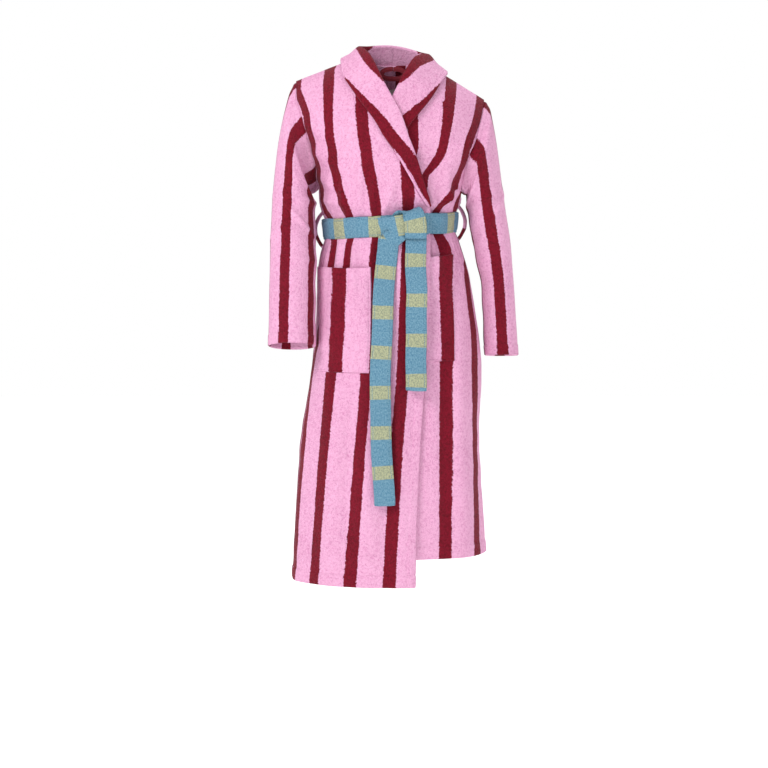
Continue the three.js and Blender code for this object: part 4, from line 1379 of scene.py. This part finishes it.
@dataclass
class Belt:
    """The belt: a band round the waist, the knot's wraps and two tails that hang from it."""

    width: float = BELT_WIDTH
    cloth: float = 0.0042
    knot_x: float = 0.038
    front_y: float = -0.110
    long_end: float = 0.962
    short_end: float = 0.708

    def band(self) -> bpy.types.Object:
        """Makes the band, from the knot round the waist and back to it, a little slack in front."""
        start, end = 0.31 * math.pi, 2.36 * math.pi
        angle = np.linspace(start, end, 260)
        level = np.full_like(angle, BELT_DROP)
        x = FORM.point(angle, level)[:, 0]
        level = BELT_DROP - BELT_TILT * x
        front = ease(0.1, 0.9, np.sin(angle))
        slack = 0.0016 * ripple(angle * 0.15, 0.05, 1.0)
        lift = (0.0038 + slack + 0.0006 * front)[:, None]
        points = FORM.point(angle, level) + FORM.normal(angle, level) * lift
        points[:, 2] += 0.0010 * ripple(angle * 0.15, 0.11, 2.2)
        across = np.tile([0.0, 0.0, 1.0], (len(angle), 1)) + FORM.normal(angle, level) * 0.10
        return Strip("belt_band", points, across, self.width, self.cloth,
                     first_block=0.0325, mirror=-1.0).build()

    def knot_parts(self) -> list[bpy.types.Object]:
        """Makes the knot: the wrap that comes over the top, the one that crosses behind it, and the tuck."""
        x, y = self.knot_x, self.front_y
        over, over_more = path([
            (x - 0.018, y - 0.003, -0.340, 0.55), (x - 0.012, y - 0.006, -0.326, 0.50),
            (x + 0.000, y - 0.012, -0.316, 0.30), (x + 0.008, y - 0.020, -0.317, 0.12),
            (x + 0.013, y - 0.025, -0.329, 0.02), (x + 0.016, y - 0.0255, -0.345, 0.0),
            (x + 0.016, y - 0.0225, -0.363, 0.0), (x + 0.016, y - 0.0165, -0.3738, 0.0)])
        lean = over_more[:, 0]
        across = np.stack([np.cos(lean), 0 * lean, np.sin(lean)], 1)
        wrap = Strip("belt_knot_wrap", over, across, 0.047, self.cloth, first_block=0.074).build()
        under, _ = path([
            (x - 0.066, y + 0.0035, -0.3515), (x - 0.054, y - 0.0035, -0.351),
            (x - 0.038, y - 0.0125, -0.350), (x - 0.018, y - 0.018, -0.346),
            (x + 0.002, y - 0.017, -0.343), (x + 0.024, y - 0.014, -0.342), (x + 0.044, y - 0.006, -0.342)])
        cross = np.tile([-0.16, -0.12, 1.0], (len(under), 1))
        behind = Strip("belt_knot_cross", under, cross, 0.044, self.cloth,
                       first_block=0.060, mirror=-1.0).build()
        tuck, _ = path([
            (x - 0.010, y - 0.006, -0.352), (x - 0.022, y - 0.010, -0.364),
            (x - 0.034, y - 0.012, -0.374), (x - 0.046, y - 0.008, -0.381)], 0.0025)
        slant = np.tile([0.86, 0.0, -0.30], (len(tuck), 1))
        fold = Strip("belt_knot_tuck", tuck, slant, 0.040, self.cloth, first_block=0.062).build()
        return [wrap, behind, fold]

    def tail(self, name: str, top: tuple[float, float, float], end: tuple[float, float, float],
             swing: float, first_block: float) -> bpy.types.Object:
        """Makes a tail.

        Args:
            name: the piece's name.
            top: where it leaves the knot.
            end: the middle of its lower end.
            swing: how far it bows to one side on its way down.
            first_block: how far down it the middle of the first pale block lies.

        Returns:
            The tail.
        """
        share = np.linspace(0, 1, int((top[2] - end[2]) / 0.0036))
        top_point, end_point = np.array(top), np.array(end)
        points = lerp(top_point, end_point, share[:, None])
        points[:, 0] += swing * np.sin(math.pi * share) + 0.0012 * ripple(share, 0.31, 0.8)
        points[:, 1] += -0.0025 * np.sin(math.pi * share) + 0.0016 * ripple(share, 0.42, 1.9)
        turn = 0.12 * ripple(share, 0.6, 0.4) * ease(0.0, 0.2, share)
        across = np.stack([np.cos(turn), np.sin(turn), 0.02 + 0 * turn], 1)
        return Strip(name, points, across, self.width, self.cloth, first_block).build()

    def build(self, weave: bpy.types.Material) -> list[Piece]:
        """Makes the belt's pieces and dresses them in their weave."""
        wrap, cross, tuck = self.knot_parts()
        y = self.front_y
        long_tail = self.tail("belt_long_tail_cloth", (-0.006, y - 0.0085, -0.3725),
                              (-0.015, -0.158, -self.long_end), -0.013, 0.078)
        short_tail = self.tail("belt_short_tail_cloth", (0.054, y - 0.0075, -0.3722),
                               (0.054, -0.150, -self.short_end), 0.0015, 0.0515)
        tape = "belt_cloth"
        pieces = [
            Piece(self.band(), "robe", "belt_waist_band", tape, (self.width, 0.83), "stretched"),
            Piece(wrap, "robe", "belt_knot", tape, (self.width, 0.125), "folded"),
            Piece(cross, "robe", None, tape, (self.width, 0.115), "folded"),
            Piece(tuck, "robe", None, tape, (0.040, 0.05), "folded"),
            Piece(long_tail, "long_tail", "belt_long_tail", tape, (self.width, 0.584)),
            Piece(short_tail, "short_tail", "belt_short_tail", tape, (self.width, 0.33)),
        ]
        return [piece.dress(weave) for piece in pieces]


# ---- Small parts ------------------------------------------------------------------------------------------
@dataclass
class SmallParts:
    """The belt loops on the side seams, the hanging loop and the blank care label."""

    loop_width: float = 0.014
    loop_cloth: float = 0.0026
    tape_width: float = 0.010

    def belt_loop(self, side: Side) -> bpy.types.Object:
        """Makes a belt loop: a doubled strap that arches away from the side seam."""
        node = "right_belt_loop" if side is Side.RIGHT else "left_belt_loop"
        low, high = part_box(node)
        sign = side.value
        near = high[0] if sign < 0 else low[0]
        far = low[0] if sign < 0 else high[0]
        share = np.linspace(0, 1, 41)
        bow = np.sin(math.pi * share) ** 0.8
        x = near + (far - near) * bow * 0.93 - sign * 0.003 * (1 - bow)
        z = lerp(high[2] - 0.001, low[2] + 0.001, share)
        y = 0.0012 * np.sin(3 * math.pi * share)
        points = np.stack([x, y, z], 1)
        across = np.tile([0.55 * sign, 0.84, 0.0], (len(points), 1))
        return Strip(f"{side.name.lower()}_belt_loop_cloth", points, across, self.loop_width, self.loop_cloth,
                     0.074, 0.0026, 5, bulge=0.0004, mirror=float(sign), stripes_cross=True).build()

    def hanging_loop(self) -> bpy.types.Object:
        """Makes the hanging loop: a flat bow of narrow tape under the neck seam."""
        low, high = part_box("hanging_loop")
        middle, y = (low[0] + high[0]) / 2, (low[1] + high[1]) / 2
        half, depth = (high[0] - low[0]) / 2 - 0.005, high[2] - low[2] - 0.008
        turn = np.linspace(-1, 1, 73) * (math.pi - 0.012)
        x = middle + half * np.sign(np.sin(turn)) * np.abs(np.sin(turn)) ** 0.75
        z = low[2] + 0.004 + depth * (0.5 - 0.5 * np.cos(turn))
        points = np.stack([x, np.full_like(x, y), z], 1)
        along = np.gradient(points, axis=0)
        across = np.cross(unit(along), np.tile([0.0, 1.0, 0.0], (len(x), 1)))
        return Strip("hanging_loop_tape", points, across, self.tape_width, 0.0016, 0.0, 0.0016, 5,
                     bulge=0.0002).build()

    def label(self) -> bpy.types.Object:
        """Makes the care label: a blank satin tape sewn in at its top, curling a little at its foot."""
        low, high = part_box("care_label")
        share = np.linspace(0, 1, 21)
        z = lerp(high[2] - 0.0005, low[2] + 0.0005, share)
        y = (low[1] + high[1]) / 2 - 0.0010 * share ** 2
        middle = (low[0] + high[0]) / 2
        points = np.stack([np.full_like(z, middle), y, z], 1)
        across = np.tile([1.0, 0.0, 0.0], (len(z), 1))
        return Strip("care_label_tape", points, across, high[0] - low[0] - 0.001, 0.0007, 0.0, 0.0018, 9,
                     bulge=0.0001).build()

    def build(self, towelling: bpy.types.Material) -> list[Piece]:
        """Makes the small parts and dresses each in its own cloth."""
        red = Tape("burgundy_tape_weave", (0.27, 0.012, 0.03, 1.0), (0.12, 0.004, 0.012, 1.0)).material()
        white = Tape("label_satin", (0.86, 0.84, 0.80, 1.0), (0.70, 0.68, 0.64, 1.0), rib=0.0007, rough=0.35,
                     sheen=0.05).material()
        pieces = []
        for side in Side:
            node = f"{side.name.lower()}_belt_loop"
            size = (self.loop_width, 0.098)
            pieces.append(Piece(self.belt_loop(side), "robe", node, "pink_towelling", size).dress(towelling))
        loop = Piece(self.hanging_loop(), "hanging_loop", "hanging_loop", "burgundy_tape",
                     (self.tape_width, 0.13))
        pieces.append(loop.dress(red))
        label = Piece(self.label(), "robe", "care_label", "white_satin_tape", (0.045, 0.030))
        pieces.append(label.dress(white))
        return pieces


# ---- Collar and sleeves as one set ------------------------------------------------------------------------
@dataclass
class CollarAndSleeves:
    """The shawl collar's halves and the two sleeves."""

    pattern: Pattern = field(default_factory=Pattern)

    def collar(self, side: Side) -> CollarHalf:
        """Returns the right or the left half of the collar."""
        if side is Side.RIGHT:
            return CollarHalf(
                "right_collar_cloth", side,
                ((-38, 18), (-11, -41), (25, -109), (54, -196), (80, -300)),
                ((-107, -7), (-76, -61), (-21, -138), (27, -214), (75, -303)), flush,
                ((0.0, -0.034), (0.20, -0.030), (0.40, -0.012), (0.52, 0.001), (0.64, 0.012), (0.80, 0.018),
                 (1.0, 0.016)))
        return CollarHalf(
            "left_collar_cloth", side,
            ((54, 25), (27, -9), (2, -59), (-25, -115), (-48, -190), (-68, -300)),
            ((122, -11), (91, -59), (55, -105), (22, -150), (-20, -215), (-63, -303)), tucked,
            ((0.0, -0.034), (0.20, -0.030), (0.40, -0.008), (0.52, 0.006), (0.64, 0.015), (0.80, 0.018),
                 (1.0, 0.016)))

    def sleeve(self, side: Side) -> Sleeve:
        """Returns the right or the left sleeve."""
        if side is Side.RIGHT:
            return Sleeve(
                "right_sleeve_cloth", side, 0.615,
                ((0.06, 0.233), (0.2, 0.252), (0.5, 0.268), (1.0, 0.275)),
                ((0.12, 0.186), (0.3, 0.171), (0.6, 0.168), (1.0, 0.170)),
                ((0.35, -0.030), (0.7, -0.060), (1.0, -0.065)), 0.022, self.pattern.right_armhole,
                ((0.0, 0.0), (1.0, 0.0)),
                ((0.36, -1.4, 0.05, 0.016, 0.005), (0.44, -2.0, -0.04, 0.018, 0.005),
                 (0.52, -1.2, 0.06, 0.016, 0.004), (0.62, -1.9, 0.03, 0.018, 0.003),
                 (0.20, -2.3, -0.06, 0.022, 0.006), (0.28, -2.5, 0.05, 0.02, 0.005),
                 (0.40, 1.6, 0.05, 0.018, 0.005), (0.50, 1.9, -0.05, 0.018, 0.004)))
        return Sleeve(
            "left_sleeve_cloth", side, 0.640,
            ((0.05, 0.216), (0.17, 0.234), (0.4, 0.254), (0.6, 0.272), (1.0, 0.290)),
            ((0.15, 0.170), (0.3, 0.174), (0.45, 0.184), (0.7, 0.205), (1.0, 0.213)),
            ((0.5, 0.010), (1.0, 0.014)), 0.010, self.pattern.left_armhole,
            ((0.0, 0.0), (1.0, 0.0)),
            ((0.34, -1.5, 0.05, 0.016, 0.005), (0.43, -1.1, -0.04, 0.018, 0.005),
             (0.55, -1.7, 0.05, 0.016, 0.004), (0.22, -2.4, -0.06, 0.022, 0.005),
             (0.40, 1.6, 0.05, 0.018, 0.005), (0.50, 1.9, -0.05, 0.018, 0.004)))

    def build(self, towelling: bpy.types.Material) -> list[Piece]:
        """Makes the collar and the sleeves, and dresses them in towelling."""
        pieces = []
        for side in Side:
            word = side.name.lower()
            collar = Piece(self.collar(side).build(), "robe", f"{word}_collar_half", "pink_towelling",
                           (0.13, 0.52), "folded", 0.045)
            pieces.append(collar.dress(towelling))
            body = f"{word}_sleeve"
            sleeve = Piece(self.sleeve(side).build(), body, body, "pink_towelling", (0.42, 0.62), area=0.22)
            pieces.append(sleeve.dress(towelling, rides=False))
            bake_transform(sleeve.shape)
        return pieces


# ---- The robe's body --------------------------------------------------------------------------------------
@dataclass
class RobeBody:
    """The back, the two fronts and the pockets."""

    pattern: Pattern = field(default_factory=Pattern)

    def build(self, towelling: bpy.types.Material) -> list[Piece]:
        """Makes the panels and the pockets, and dresses them in towelling."""
        outer, under = self.pattern.outer_front(), self.pattern.under_front()
        right_pocket = Pocket("right_pocket_cloth", outer, 0.440, -0.158, -0.044, -0.113, -0.0125)
        left_pocket = Pocket("left_pocket_cloth", under, 0.414, 0.008, 0.136, 0.121, 0.009)
        pieces = [
            Piece(self.pattern.back().build(), "robe", "back_panel", "pink_towelling", (0.64, 1.25),
                  area=0.68),
            Piece(outer.build(), "robe", "right_front_panel", "pink_towelling", (0.42, 1.25), area=0.42),
            Piece(under.build(), "robe", "left_front_panel", "pink_towelling", (0.42, 1.19), area=0.38),
            Piece(right_pocket.build(), "robe", "right_pocket", "pink_towelling", (0.125, 0.26)),
            Piece(left_pocket.build(), "robe", "left_pocket", "pink_towelling", (0.14, 0.26)),
        ]
        return [piece.dress(towelling) for piece in pieces]


# ---- Stage ------------------------------------------------------------------------------------------------
@dataclass(frozen=True)
class Studio:
    """A pale floor, soft lamps and the camera, which looks slightly down on the robe."""

    floor: float = -1.46
    distance: float = 4.5
    camera_x: float = -0.016
    camera_z: float = -0.375
    pitch: float = 85.8
    lens: float = 92.9
    air: float = 0.66

    def ground(self) -> bpy.types.Object:
        """Makes the pale floor."""
        points = [(x, y, self.floor) for y in (-9.0, 9.0) for x in (-9.0, 9.0)]
        faces = [(0, 1, 3, 2)]
        mesh = bpy.data.meshes.new("floor")
        mesh.from_pydata(points, [], faces)
        mesh.update()
        floor = bpy.data.objects.new("floor", mesh)
        bpy.context.scene.collection.objects.link(floor)
        desk = NodeDesk("floor_paper")
        place = desk.object_place()
        tone = desk.noise(place, 3.0, 2.0)
        colour = desk.mix(tone, (0.95, 0.95, 0.95, 1.0), (0.97, 0.97, 0.97, 1.0))
        glow = {"Specular IOR Level": 0.1, "Emission Strength": 0.45, "Emission Color": (1.0, 1.0, 1.0, 1.0)}
        mesh.materials.append(desk.surface(colour, 0.9, tone, 0.0001, glow))
        return floor

    def lamp(self, name: str, place: tuple[float, float, float], target: tuple[float, float, float],
             size: float, power: float) -> None:
        """Adds a soft square lamp that faces a target."""
        data = bpy.data.lights.new(name, "AREA")
        data.shape, data.size, data.energy = "SQUARE", size, power
        lamp = bpy.data.objects.new(name, data)
        bpy.context.scene.collection.objects.link(lamp)
        lamp.location = place
        away = Vector(place) - Vector(target)
        lamp.rotation_euler = away.to_track_quat("Z", "Y").to_euler()

    def camera(self) -> None:
        """Adds the camera."""
        data = bpy.data.cameras.new("camera")
        data.lens, data.sensor_width = self.lens, 36.0
        camera = bpy.data.objects.new("camera", data)
        bpy.context.scene.collection.objects.link(camera)
        camera.location = (self.camera_x, -self.distance, self.camera_z)
        camera.rotation_euler = (math.radians(self.pitch), 0.0, 0.0)
        bpy.context.scene.camera = camera

    def build(self) -> None:
        """Makes the floor, the lamps, the air's own light and the camera."""
        self.ground()
        self.lamp("key", (-2.3, -3.0, 1.9), (0.0, 0.0, -0.5), 1.3, 106.0)
        self.lamp("fill", (2.4, -2.8, 0.6), (0.0, 0.0, -0.6), 2.0, 16.0)
        self.lamp("top", (0.2, 0.4, 2.4), (0.0, 0.0, -0.3), 1.6, 18.0)
        self.lamp("rim", (1.6, 2.0, 1.0), (0.0, 0.0, -0.4), 1.4, 16.0)
        world = bpy.data.worlds.new("studio_air")
        world.use_nodes = True
        tree = world.node_tree
        lit, seen = tree.nodes["Background"], tree.nodes.new("ShaderNodeBackground")
        for background, strength in ((lit, self.air), (seen, 1.0)):
            background.inputs[0].default_value = (1.0, 1.0, 1.0, 1.0)
            background.inputs[1].default_value = strength
        path, mix = tree.nodes.new("ShaderNodeLightPath"), tree.nodes.new("ShaderNodeMixShader")
        tree.links.new(path.outputs["Is Camera Ray"], mix.inputs[0])
        tree.links.new(lit.outputs[0], mix.inputs[1])
        tree.links.new(seen.outputs[0], mix.inputs[2])
        tree.links.new(mix.outputs[0], tree.nodes["World Output"].inputs[0])
        bpy.context.scene.world = world
        bpy.context.scene.view_settings.view_transform = "Standard"
        self.camera()


def main() -> None:
    """Builds the robe one sub-assembly after the other, then the studio around it."""
    logging.basicConfig(level=logging.INFO, format="%(name)s: %(message)s")
    bpy.ops.object.select_all(action="DESELECT")
    towelling = Towelling().material()
    RobeBody().build(towelling)
    CollarAndSleeves().build(towelling)
    Belt().build(BeltCloth().material())
    SmallParts().build(towelling)
    Studio().build()


if __name__ == "__main__":
    main()
